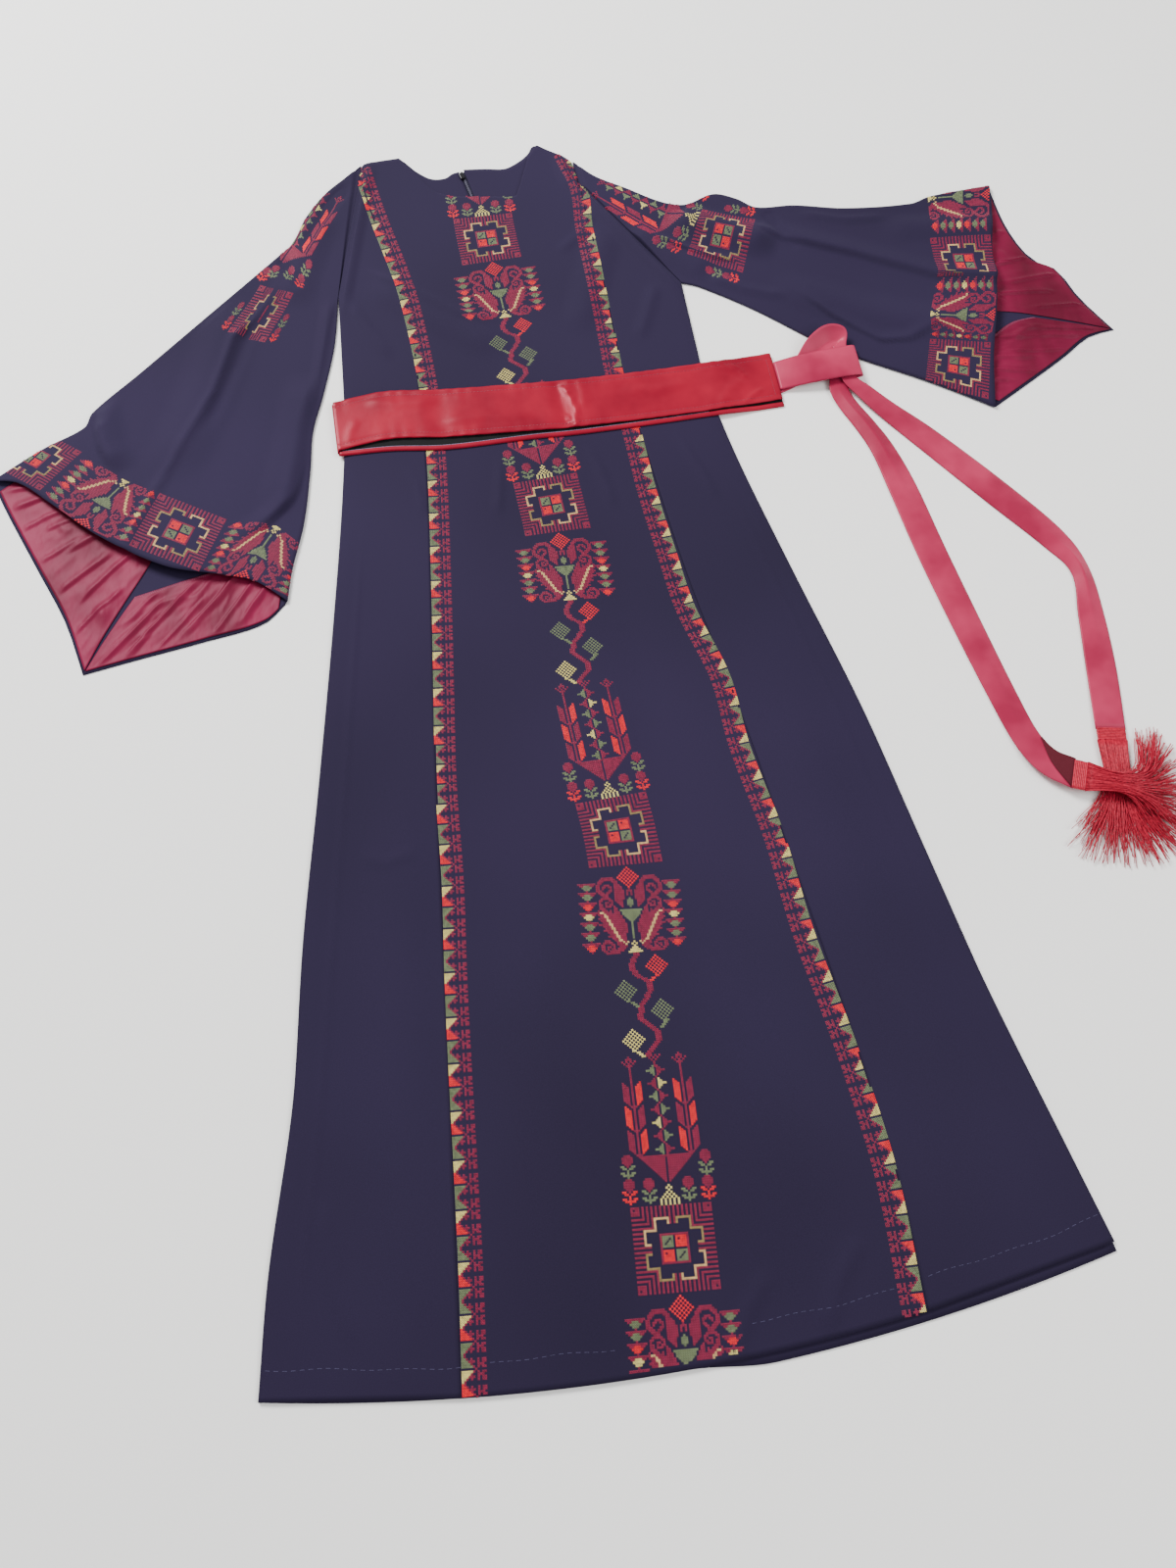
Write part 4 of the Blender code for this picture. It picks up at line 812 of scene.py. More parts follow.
belt = {
    # under: how far the embroidery goes on below the belt's edges
    "width": 68 * mm, "under": 4 * mm, "base": 3.6 * mm, "floor": 0.4 * mm,
    "drops": (0.222, 0.275), "fold": 1.7 * mm,
    "steps": 170, "across": 34, "thickness": 0.9 * mm, "stitchIn": 7 * mm,
    # satin turned over the under layer's lower edge, and the height of its roll
    "turned": 6 * mm, "roll": 1.3 * mm,
    # padding: its crown, the width of its rounded edge, the stitched groove's depth and half width,
    # the ripple's height, its two paces along the belt and its reach, and the crown at the fold
    "crown": 0.25 * mm, "edge": 3 * mm, "groove": (0.45 * mm, 1.6 * mm),
    "ripple": (0.30 * mm, 310, 83, 9 * mm), "foldCrown": 0.3,
    # x, middle y of the top layer, middle y of the under layer
    "rows": (
        (-0.2225, 1.042, 1.036), (-0.164, 1.049, 1.034), (-0.100, 1.042, 1.026), (0.000, 1.035, 1.025),
        (0.060, 1.032, 1.023), (0.190, 1.031, 1.024), (0.2995, 1.036, 1.027)),
    # creases on the top layer: paths along the belt and across from its middle
    "creases": (
        (((0.0370, 0.046), (0.0384, 0.004), (0.0430, -0.046)), -0.0020, 0.013, 0.2, 0),
        (((0.0400, 0.034), (0.0520, 0.014), (0.0572, -0.010), (0.0540, -0.030), (0.0460, -0.046)),
         0.0020, 0.0065, 0.5, -1),
        (((0.0400, -0.012), (0.0455, -0.024), (0.0440, -0.040)), 0.0014, 0.004, 0.6, 1),
        (((0.0560, 0.040), (0.0520, 0.026), (0.0470, 0.008)), 0.0010, 0.004, 0.6, 0),
        (((0.0640, 0.042), (0.0680, 0.014), (0.0660, -0.012)), 0.0010, 0.008, 0.3, 0),
        (((-0.0960, 0.042), (-0.1040, 0.000), (-0.0980, -0.042)), -0.0012, 0.024, 0.0, 0),
        (((0.232, 0.036), (0.242, 0.022), (0.252, 0.014)), 0.0016, 0.006, 0.5, 0),
        (((0.246, 0.030), (0.258, 0.018), (0.266, 0.000)), 0.0018, 0.006, 0.5, -1),
        (((0.252, -0.034), (0.266, -0.022), (0.282, -0.014)), 0.0018, 0.006, 0.5, 0),
        (((0.228, -0.030), (0.240, -0.010), (0.262, 0.004)), 0.0014, 0.012, 0.2, 0),
        (((-0.190, 0.024), (-0.150, 0.014), (-0.100, 0.018)), 0.0010, 0.012, 0.2, 0),
        (((-0.110, -0.014), (-0.050, -0.008), (0.010, -0.016)), 0.0011, 0.012, 0.2, 0),
        (((0.110, 0.012), (0.150, 0.004), (0.200, 0.010)), 0.0011, 0.012, 0.2, 0),
        (((-0.214, -0.036), (-0.206, -0.012), (-0.196, 0.004)), 0.0006, 0.010, 0.2, 0),
        (((0.196, 0.046), (0.204, 0.000), (0.198, -0.046)), -0.0013, 0.030, 0.0, 0)),
}


def beltHeight(x):
    return between(belt["base"], belt["floor"], smoothStep(*belt["drops"], x))


def makeBelt():
    left, right = belt["rows"][0][0], belt["rows"][-1][0]
    path = []
    for i in range(belt["steps"] + 1):
        x = between(right, left, i / belt["steps"])
        path.append((x, readCurve(belt["rows"], 2, x), beltHeight(x), 0.0))
    foldY = (belt["rows"][0][1] + belt["rows"][0][2]) / 2
    middle = beltHeight(left) + belt["fold"]
    for turn in range(20, 180, 20):
        angle = math.radians(turn)
        path.append((left - belt["fold"] * math.sin(angle), foldY, middle - belt["fold"] * math.cos(angle),
                     belt["foldCrown"]))
    for i in range(belt["steps"] + 1):
        x = between(left, right, i / belt["steps"])
        path.append((x, readCurve(belt["rows"], 1, x), beltHeight(x) + 2 * belt["fold"], 1.0))
    half, rows = belt["width"] / 2, []
    (deep, grooveHalf), (rippleHigh, pace, drift, rippleReach) = belt["groove"], belt["ripple"]
    for x, y, z, crown in path:
        row = []
        for i in range(belt["across"] + 1):
            offset = between(half, -half, i / belt["across"])
            toEdge = half - abs(offset)
            groove = math.exp(-((toEdge - belt["stitchIn"]) / grooveHalf) ** 2)
            edge = smoothStep(0.0, belt["edge"], toEdge)
            ripple = math.sin(x * pace + math.sin(x * drift) * 2) * rippleHigh
            ripple *= math.exp(-toEdge / rippleReach)
            creased = creaseHeight(belt["creases"], x, offset) if crown == 1.0 else 0.0
            if crown == 0.0 and offset < 0:
                creased = belt["roll"] * math.sin(math.pi * min(toEdge / belt["turned"], 1.0))
            height = z + crown * (belt["crown"] * edge - deep * groove + ripple) + creased * edge
            row.append((x, y + offset, height))
        rows.append(row)
    band = addCloth("beltBand", rows, beltSatin, belt["thickness"])
    for material in (beltInsidePaintedShade, beltSatin, beltSatin):
        band.data.materials.append(material)
    band.modifiers["cloth"].material_offset = 1
    # the cloth's inner side takes the next material: satin again on the turned edge
    turned = round(belt["turned"] / belt["width"] * belt["across"])
    for number, face in enumerate(band.data.polygons):
        if number < belt["steps"] * belt["across"] and number % belt["across"] >= belt["across"] - turned:
            face.material_index = 2
    return band


beltBand = makeBelt()

ties = {
    "steps": 8, "across": 16, "thickness": 0.8 * mm,
    # the turned end: rows of the upper tie it runs between, the shares of the width where its free
    # edge starts and ends, how that edge curves, and its height over the tie
    "flap": (17.25, 18.98), "flapSteps": 12, "flapAcross": 8, "flapEdge": (-0.44, 0.5), "flapCurve": 1.3,
    "flapLift": 0.9 * mm, "flapThickness": 0.4 * mm,
    # x, y, middle z, width, angle across, tilt across, crown, and how sharply that is folded
    "upper": (
        (0.3000, 1.0360, 0.0032, 0.040, 90, 0, 0.0000, 0), (0.3250, 1.0360, 0.0080, 0.041, 90, 3, 0.0016, 0),
        (0.3500, 1.0365, 0.0108, 0.042, 90, 2, 0.0022, 0), (0.3800, 1.0375, 0.0120, 0.043, 90, 0, 0.0016, 0),
        (0.3950, 1.0380, 0.0116, 0.044, 90, 0, 0.0000, 0), (0.3998, 1.0380, 0.0092, 0.044, 90, 0, 0.0000, 0),
        (0.3945, 1.0375, 0.0069, 0.043, 91, 0, 0.0000, 0), (0.3840, 1.0340, 0.0062, 0.034, 105, 0, 0.0000, 0),
        (0.3740, 1.0220, 0.0054, 0.024, 140, 0, 0.0000, 0),
        (0.3690, 1.0050, 0.0036, 0.023, 172, 0, 0.0020, 1),
        (0.3740, 0.9850, 0.0012, 0.023, 196, 0, 0.0050, 1),
        (0.3880, 0.9500, 0.0008, 0.025, 203, 0, 0.0062, 1),
        (0.3990, 0.9150, 0.0008, 0.028, 197, 0, 0.0052, 1),
        (0.4080, 0.8600, 0.0008, 0.033, 190, 0, 0.0030, 1),
        (0.4180, 0.7700, 0.0008, 0.034, 188, 0, 0.0008, 0),
        (0.4310, 0.6750, 0.0008, 0.033, 188, 0, 0.0024, 0),
        (0.4440, 0.5900, 0.0008, 0.031, 190, 0, 0.0026, 1),
        (0.4540, 0.5350, 0.0020, 0.030, 198, 0, 0.0012, 1),
        (0.4660, 0.5030, 0.0066, 0.031, 222, 0, 0.0000, 0),
        (0.4880, 0.4830, 0.0099, 0.034, 246, 0, 0.0000, 0)),
    "lower": (
        (0.3000, 1.0290, 0.0012, 0.034, 90, 0, 0.0000, 0), (0.3180, 1.0330, 0.0014, 0.028, 102, 0, 0.0000, 0),
        (0.3340, 1.0450, 0.0034, 0.026, 122, 8, 0.0000, 0),
        (0.3518, 1.0608, 0.0090, 0.034, 112, 20, -0.0055, 0.5),
        (0.3695, 1.0725, 0.0130, 0.034, 88, 24, -0.0078, 0.6),
        (0.3832, 1.0716, 0.0125, 0.030, 52, 20, -0.0055, 0.5),
        (0.3830, 1.0640, 0.0096, 0.017, 10, 4, 0.0000, 0), (0.3805, 1.0480, 0.0087, 0.016, 0, 0, 0.0000, 0),
        (0.3805, 1.0300, 0.0086, 0.016, 0, 0, 0.0000, 0), (0.3840, 1.0120, 0.0085, 0.018, 8, 0, 0.0000, 0),
        (0.3960, 0.9960, 0.0066, 0.021, 30, 0, 0.0012, 1), (0.4180, 0.9680, 0.0024, 0.026, 38, 0, 0.0020, 1),
        (0.4550, 0.9200, 0.0008, 0.033, 38, 0, 0.0024, 0), (0.5120, 0.8380, 0.0008, 0.036, 37, 0, 0.0026, 0),
        (0.5580, 0.7680, 0.0008, 0.032, 30, 0, 0.0034, 1), (0.5760, 0.7220, 0.0008, 0.022, 12, 0, 0.0060, 1),
        (0.5700, 0.6640, 0.0008, 0.029, -8, 0, 0.0034, 1), (0.5600, 0.6000, 0.0008, 0.033, -10, 0, 0.0012, 0),
        (0.5460, 0.5280, 0.0022, 0.032, -11, 0, 0.0000, 0)),
}


def tieRow(table, key, low, high, count):
    # Points across a tie at a place along it, between two shares of its width
    keyed = [(i, *row) for i, row in enumerate(table)]
    x, y, z, width, turn, tilt, crown, crisp = [readCurve(keyed, c, key) for c in range(1, 9)]
    turn, tilt = math.radians(turn), math.radians(tilt)
    across = Vector((math.cos(turn) * math.cos(tilt), math.sin(turn) * math.cos(tilt), math.sin(tilt)))
    row = []
    for i in range(count + 1):
        share = between(low, high, i / count)
        point = Vector((x, y, z)) + across * width * share
        point.z += crown * between(1.0 - 4.0 * share * share, 1.0 - 2.0 * abs(share), crisp)
        row.append(tuple(point))
    return row


def makeTie(name, table):
    rows = [tieRow(table, k / ties["steps"], -0.5, 0.5, ties["across"])
            for k in range((len(table) - 1) * ties["steps"] + 1)]
    obj = addCloth(name, rows, ribbonSatin, ties["thickness"])
    obj.modifiers["cloth"].offset = 0.0
    return obj


def makeFlap():
    # The upper tie's end is turned back over itself, and shows the reverse of its satin
    first, last = ties["flap"]
    rows = []
    for k in range(ties["flapSteps"] + 1):
        share = k / ties["flapSteps"]
        free = between(*ties["flapEdge"], share ** ties["flapCurve"])
        row = tieRow(ties["upper"], between(first, last, share), -0.5, free, ties["flapAcross"])
        rows.append([(x, y, z + ties["flapLift"]) for x, y, z in row])
    return addCloth("tieUpperReverse", rows, ribbonReverse, ties["flapThickness"], inward=False)


tieUpper = makeTie("tieUpper", ties["upper"])
tieLower = makeTie("tieLower", ties["lower"])
tieFlap = makeFlap()
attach(tieFlap, "root")
print("belt made")


# Embroidery: counted cross-stitch, two slanting strands a stitch, drawn 2 mm to a square. The
# glossy rayon catches the light on each strand

threads = {"b": "8e2240", "r": "f02428", "g": "74805a", "y": "e8d87c", "c": "e4bc7c", "h": "a08a54",
           "stitch": 2.0 * mm, "halfWidth": 0.34 * mm, "rise": 0.42 * mm, "reach": 0.90}


def makeThread(name, color, rough=0.45):
    material, tree, shader = newMaterial(name, color, rough, Specular_IOR_Level=0.2)
    place = addNode(tree, "ShaderNodeTexCoord")
    noise = addNode(tree, "ShaderNodeTexNoise", [("Scale", 420.0), ("Detail", 1.0)],
                    [("Vector", place.outputs["Object"])])
    ramp = addNode(tree, "ShaderNodeValToRGB", [], [("Fac", noise.outputs["Fac"])])
    base = hexLinear(color)
    ramp.color_ramp.elements[0].position = 0.3
    ramp.color_ramp.elements[0].color = [v * 0.62 for v in base[:3]] + [1.0]
    ramp.color_ramp.elements[1].position = 0.62
    ramp.color_ramp.elements[1].color = base
    tree.links.new(ramp.outputs["Color"], shader.inputs["Base Color"])
    return material


threadNames = {"b": "burgundy rayon thread", "r": "coral rayon thread", "g": "sage rayon thread",
               "y": "pale yellow rayon thread", "c": "cream rayon thread", "h": "khaki rayon thread"}
threadMaterials = {key: makeThread(name, threads[key]) for key, name in threadNames.items()}
sewingThread = makeThread("grey polyester sewing thread", "6f6b86", 0.6)
hemThread = makeThread("dusky polyester sewing thread", "4c4866", 0.6)
# The belt's topstitching thread is drawn in a dark crimson: partly the thread's own colour, partly painted
# shade along the stitched line
beltThread = makeThread("crimson sewing thread", "8c2c40", 0.5)


class Surface:
    # Pieces that stitches are laid on, looked down on
    def __init__(self, *pieces):
        corners, faces = [], []
        for piece in pieces:
            start = len(corners)
            corners += [vertex.co.copy() for vertex in piece.data.vertices]
            faces += [[start + i for i in polygon.vertices] for polygon in piece.data.polygons]
        self.tree = BVHTree.FromPolygons(corners, faces)

    def drop(self, x, y):
        place, normal, _, _ = self.tree.ray_cast(Vector((x + shift.x, y + shift.y, 0.3)), Vector((0, 0, -1)))
        if place is None or abs(normal.z) < 0.3:
            return None, None
        return place, normal if normal.z > 0 else -normal


class Needlework:
    # Strands of thread in one mesh: each is a long low peak, highest in its middle
    def __init__(self, name, materials):
        self.name, self.materials = name, materials
        self.points, self.faces, self.colors = [], [], []

    def strand(self, start, end, normal, halfWidth, rise, color):
        side = normal.cross(end - start).normalized() * halfWidth
        middle = (start + end) * 0.5 + normal * rise
        k = len(self.points)
        self.points += [start - side, start + side, end + side, end - side, middle]
        self.faces += [(k + 1, k, k + 4), (k + 2, k + 1, k + 4), (k + 3, k + 2, k + 4), (k, k + 3, k + 4)]
        self.colors += [color] * 4

    def cross(self, corners, normal, color):
        middle = sum(corners, Vector()) / 4
        size = min((corners[0] - corners[1]).length, (corners[1] - corners[2]).length) / threads["stitch"]
        wide = threads["halfWidth"] * min(size, 1.15)
        near = [middle + (corner - middle) * threads["reach"] + normal * 0.05 * mm for corner in corners]
        self.strand(near[0], near[2], normal, wide, threads["rise"] * 0.7, color)
        self.strand(near[1], near[3], normal, wide, threads["rise"], color)

    def finish(self):
        mesh = bpy.data.meshes.new(self.name)
        mesh.from_pydata(self.points, [], self.faces)
        mesh.polygons.foreach_set("material_index", self.colors)
        obj = addPiece(self.name, mesh, *self.materials)
        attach(obj, "root")
        return obj


def chartCells(text, centre=0, mirror=False):
    # Rows of letters to {(column, row): thread}
    cells = {}
    for row, line in enumerate(text.split()):
        for i, letter in enumerate(line):
            if letter != ".":
                cells[(i - centre, row)] = letter
                if mirror:
                    cells[(centre - i, row)] = letter
    return cells


def moved(cells, columns, rows, flip=1):
    return {(column * flip + columns, row + rows): letter for (column, row), letter in cells.items()}


def merge(*sets):
    # Earlier sets win where two want the same square
    merged = {}
    for cells in reversed(sets):
        merged.update(cells)
    return merged


def squareCells():
    cells = {}
    hook = ([(c, 5) for c in range(10, 17)] + [(16, 6), (16, 7)] + [(10, r) for r in range(6, 11)]
            + [(c, 10) for c in range(5, 10)] + [(5, r) for r in range(11, 17)] + [(6, 16), (7, 16)])
    for row in range(37):
        for column in range(37):
            c, r = min(column, 36 - column), min(row, 36 - row)
            inside = (c >= 5 and r >= 10) or (c >= 10 and r >= 5)
            if not inside:
                corner = c <= 2 and r <= 2
                comb = column % 2 == 1 if r < c else row % 2 == 1
                if (corner and not (c == 1 and r == 1)) or (comb and not corner):
                    cells[(column - 18, row)] = "b"
            elif c >= 17 and r in (5, 6, 7) and column != 18:
                cells[(column - 18, row)] = "b"
            elif r >= 17 and c in (5, 6, 7) and row != 18:
                cells[(column - 18, row)] = "b"
            elif c >= 12 and r >= 12 and (c == 12 or r == 12):
                cells[(column - 18, row)] = "b"
            elif 13 <= c <= 17 and 13 <= r <= 17:
                mark = (column < 18) == (row < 18)
                slash = c + r == 30 and abs(c - r) <= 2 if mark else (
                    (column % 6 + row % 6) in (4, 10) and 14 <= c <= 16 and 14 <= r <= 16)
                if not slash:
                    cells[(column - 18, row)] = "g" if mark else "r"
    for c, r in hook:
        for column, row, letter in ((c, r, "c"), (36 - c, r, "h"), (c, 36 - r, "h"), (36 - c, 36 - r, "c")):
            cells[(column - 18, row)] = letter
    return cells


def diamondCells(letter):
    return {(c, r + 5): letter for c in range(-5, 6) for r in range(-5, 6)
            if (c + r) % 2 and abs(c) + abs(r) <= 5}


vaseChart = """
r................ .r............... r.r.............. .r.r............. r.r.r............
.r.r.r..bbbbbb... r.r.r..bbbbbbbb.. .r.r..bbb....bbb. r.r...bb......bb. .r...bbb..bbb..bb
r...bbbb.bb.bb.bb b...bbbb.b...b.bb bb.bbbbb.bb...bbb .b.bbbbb..bb.bbb.
.b.bbbbb...bbbb.. ...bbbbb...bbb... g..bbbbb..bbbbb.. gg..bbbb.bb...bb.
gg..bbb..b.bb..b. gg..bb...bb.b.bb. g...b...b.bbb.bb. .......bb....bbb. gggggg.bb.b.bbb.b
ggggg.bbb.bbbbccb ggggg.bbbbbbbcbbb gggg.bbbbbbbccbb. ggg..bbbbbbbcbbbb gg..bbbbbbbccbbb.
g...bbbbbbbcbbb.. g..bbbbbbbccbbbbb g..bbbbbbbcbbbb.. g..bbbbbbccbbb... g..bbbbbbcbbbbb..
g..bbbbbccbbb.... g...bbbbcbbb..... g...bbbccbbbb.... g...bbbcbbb...... ....bbccbb..bbb..
y..cbcbbb..bbbbb. .y..cbbbb.bb...bb y...bbbb..b.bb.bb yy...bbbb.bb.b.bb yyy...bbbbbbb.bb.
yyyy....bbbbbbb..
"""
treeChart = "bbbbbbbbb .bbXXXbb. ..XXXXX.. ...XXX... ....b...."
flowerChart = "..bbb.. .bbbbb. .bbbbb. .bbbbb. ..bbb.. LL.b.LL .LL.LL. ...L... LL.L.LL .LLLLL. ...L..."
budChart = "...b... ..bbb.. b.b.b.b .b.b.b. ..bbb.. ...b..."
# one repeat of the long bands: the seam's side first; X and Z change colour
bandChart = """
......b.... XXXXXb.b.bb XXXXb..bbb. XXXbbb.b.bb XXb.b..b.bb Xb.........
Zb......... ZZb.b..b.bb ZZZbbb.b.bb ZZZZb..bbb. ZZZZZb.b.bb
"""


def treeCells():
    cells = {}
    for number, letter in enumerate("ggryggr"):
        cells.update(moved(chartCells(treeChart.replace("X", letter), 4), 0, number * 5))
    return cells


def vaseCells():
    trees = treeCells()
    return merge(chartCells(vaseChart, 0, True), moved(trees, -21, 8), moved(trees, 21, 8))


def flowerCells(leaf):
    return chartCells(flowerChart.replace("L", leaf), 3)


def vineCells():
    stem = [(0.6, 0), (3, -2), (8, -2.8), (11, -1.0), (14, 3.0), (16, 4.1), (20, 3.2), (25, -1.2),
            (27, -1.9), (32, -2.6), (35.5, 0.2), (38.5, 3.7), (43, 3.7), (46.5, 0.5), (50, -3.2)]
    cells = {}
    for row in range(51):
        middle = readCurve(stem, 1, row)
        for offset in (-1, 0, 1):
            cells[(round(middle + offset), row)] = "b"
    for letter, row, column, start, end, first, last in (
            ("r", 7, 9, 12, 14, 7.5, 5.0), ("g", 18, -8, 23, 26, -7.6, -3.9),
            ("g", 29, 8, 34, 37, 9, 5.7), ("y", 42, -8, 47, 50, -8.8, -4.8)):
        cells.update(moved(diamondCells(letter), column, row - 5))
        for k in range(start, end + 1):
            across = between(first, last, (k - start) / (end - start))
            cells[(round(across), k)] = letter
            cells[(round(across) + 1, k)] = letter
    return cells


def forkCells():
    cells = {(c, r): "b" for r, row in enumerate(((-3, -1, 1, 3), (-2, 0, 2), (-1, 1), (0,), (0,), (0,)))
             for c in row}
    for k, (left, right) in enumerate(("gb", "by", "gb", "bg", "yb", "bg", "gb")):
        for c, rows in ((1, range(5)), (2, range(1, 4)), (3, range(2, 3)), (4, range(2, 3))):
            for r in rows:
                cells[(-c, 5 + 6 * k + r)] = left
                cells[(c, 5 + 6 * k + r)] = right
        cells[(0, 10 + 6 * k)] = "b"
    bud = chartCells(budChart, 3)
    for side in (-1, 1):
        cells.update(moved(bud, 12 * side, 0))
        for r in range(6, 46):
            cells[(12 * side, r)] = "b"
        for start, outer, inner in ((12, "b", "r"), (23, "r", "b"), (34, "b", "r")):
            for step in range(3):
                for r in range(9):
                    cells[((16 - step) * side, start + step + r)] = outer
                    cells[((8 + step) * side, start + step + r)] = inner
            cells[(13 * side, start + 11)] = cells[(11 * side, start + 11)] = "b"
        for c, r, leaf in ((17.5, 45, "g"), (17.5, 56, "r"), (9, 56, "g")):
            cells = merge(cells, moved(flowerCells(leaf), round(c * side), r))
    for r in range(46, 59):
        for c in range(1, 13 - (r - 46)):
            cells[(c, r)] = cells[(-c, r)] = "b"
    fan = ((0,), (-1, 1), (0,), (-1, 1), (-2, 0, 2), (-3, -1, 1, 3)) + ((-4, -2, 0, 2, 4),) * 3
    for r, row in enumerate(fan):
        for c in row:
            cells[(c, 59 + r)] = "y"
    return cells


square, vase, vine, fork = squareCells(), vaseCells(), vineCells(), forkCells()

# Centre column: x along its run, and the rows counted down from the top square's middle
column = {
    "axis": ((0.000, -0.0190), (0.0996, -0.0103), (0.155, -0.0055), (0.180, -0.003), (0.273, 0.0028),
             (0.377, 0.0054), (0.419, 0.0085), (0.455, 0.0115), (0.501, 0.0118), (0.545, 0.0092),
             (0.600, 0.0070), (0.672, 0.0043), (0.770, 0.0071), (0.860, 0.0082), (0.899, 0.0068),
             (1.100, -0.002), (1.200, -0.0062), (1.300, -0.0098), (1.345, -0.0098), (1.400, -0.0082)),
    # how far the cloth has sheared, so that its rows fall towards the right
    "shear": ((0.000, 0.000), (0.440, 0.040), (0.501, 0.052), (0.560, 0.035), (0.670, 0.050), (0.800, 0.045),
              (0.890, 0.010), (0.940, 0.000), (1.400, 0.000)),
    "marks": ((-40, 1.380), (0, 1.300), (200, 0.899), (400, 0.501), (600, 0.100), (660, -0.020)),
}


def columnPlace(across, down):
    height = alongStraightValue(column["marks"], down)
    x = readCurve(column["axis"], 1, height)
    slope = (readCurve(column["axis"], 1, height + 0.01) - readCurve(column["axis"], 1, height - 0.01)) / 0.02
    length = math.hypot(1.0, slope)
    offset = across * threads["stitch"]
    fall = slope / length + readCurve(column["shear"], 1, height)
    return x + offset / length, height - offset * fall


def columnCells():
    cells = {}
    for number in range(4):
        middle = 200 * number
        parts = [moved(square, 0, middle - 18), moved(vase, 0, middle + 20),
                 moved(vine, 0, middle + 64), moved(fork, 0, middle + 114)]
        if number == 0:
            parts.append(moved(fork, 0, -86))
        cells = merge(cells, *parts)
    return cells


def underBelt(x, y):
    if not belt["rows"][0][0] < x < belt["rows"][-1][0]:
        return False
    middles = readCurve(belt["rows"], 1, x), readCurve(belt["rows"], 2, x)
    half = belt["width"] / 2 - belt["under"]
    return min(middles) - half < y < max(middles) + half


def embroider(name, cells, place, surface, keep=lambda x, y: True):
    stitches = Needlework(name, list(threadMaterials.values()))
    order = {letter: i for i, letter in enumerate(threadMaterials)}
    known = {}

    def spot(c, r):
        if (c, r) not in known:
            known[(c, r)] = place(c, r)
        return known[(c, r)]

    for (c, r), letter in sorted(cells.items()):
        x, y = place(c, r)
        if not keep(x, y):
            continue
        middle, normal = surface.drop(x, y)
        if middle is None:
            continue
        corners = []
        for dc, dr in ((-0.5, -0.5), (0.5, -0.5), (0.5, 0.5), (-0.5, 0.5)):
            cx, cy = spot(c + dc, r + dr)
            slant = Vector((cx - x, cy - y, 0.0))
            slant.z = max(-(normal.x * slant.x + normal.y * slant.y) / normal.z, 0.4 * mm - middle.z)
            corners.append(middle + slant)
        if (corners[0] - corners[1]).length > 0.35 * threads["stitch"] < (corners[1] - corners[2]).length * 2:
            stitches.cross(corners, normal, order[letter])
    print(name, len(stitches.faces), "faces")
    return stitches.finish()


work = {}
frontSurface = Surface(frontCentre, frontSideLeft, frontSideRight)
work["centreEmbroidery"] = embroider("centreEmbroidery", columnCells(), columnPlace, frontSurface,
                                     lambda x, y: not underBelt(x, y) and y > 0.006)

# Long bands over the two front seams: the middle of each band, from hem to shoulder
bands = {
    "left": {"rows": ((0.012, -0.204), (0.110, -0.194), (0.193, -0.187), (0.282, -0.180), (0.375, -0.172),
                      (0.474, -0.162), (0.579, -0.155), (0.691, -0.143), (0.810, -0.130), (0.977, -0.114),
                      (1.079, -0.110), (1.225, -0.118), (1.365, -0.141), (1.430, -0.150), (1.450, -0.153)),
             "side": -1, "top": 1.440, "mark": 0.1862, "colors": ("gg", "yr")},
    "right": {"rows": ((0.007, 0.188), (0.128, 0.194), (0.219, 0.189), (0.286, 0.182), (0.367, 0.172),
                       (0.472, 0.166), (0.573, 0.153), (0.655, 0.150), (0.743, 0.130), (0.820, 0.123),
                       (0.900, 0.117), (0.982, 0.115), (1.068, 0.110), (1.120, 0.111), (1.220, 0.112),
                       (1.300, 0.113), (1.360, 0.117), (1.415, 0.107), (1.440, 0.104)),
              "side": 1, "top": 1.425, "mark": 0.1372, "colors": ("gg", "ry")},
}


def bandCells(colors):
    cells = {}
    for repeat in range(-70, 20):
        first, second = colors[repeat % 2]
        text = bandChart.replace("X", first).replace("Z", second)
        cells.update(moved(chartCells(text, 5), 0, repeat * 11))
    return cells


def bandPlace(band):
    lengths = [0.0]
    heights = [i * 0.005 for i in range(292)]
    spots = [(readCurve(band["rows"], 1, h), h) for h in heights]
    for a, b in zip(spots, spots[1:]):
        lengths.append(lengths[-1] + math.dist(a, b))
    start = np.interp(band["mark"], heights, lengths)

    def place(c, r):
        height = float(np.interp(start - r * threads["stitch"], lengths, heights))
        x = readCurve(band["rows"], 1, height)
        above = readCurve(band["rows"], 1, height + 0.012)
        slope = (above - readCurve(band["rows"], 1, height - 0.012)) / 0.024
        length = math.hypot(1.0, slope)
        offset = -c * threads["stitch"] * band["side"]
        return x + offset / length, height - offset * slope / length
    return place


for side, band in bands.items():
    name = side + "BandEmbroidery"
    work[name] = embroider(name, bandCells(band["colors"]), bandPlace(band), frontSurface,
                           lambda x, y, top=band["top"]: not underBelt(x, y) and 0.003 < y < top)

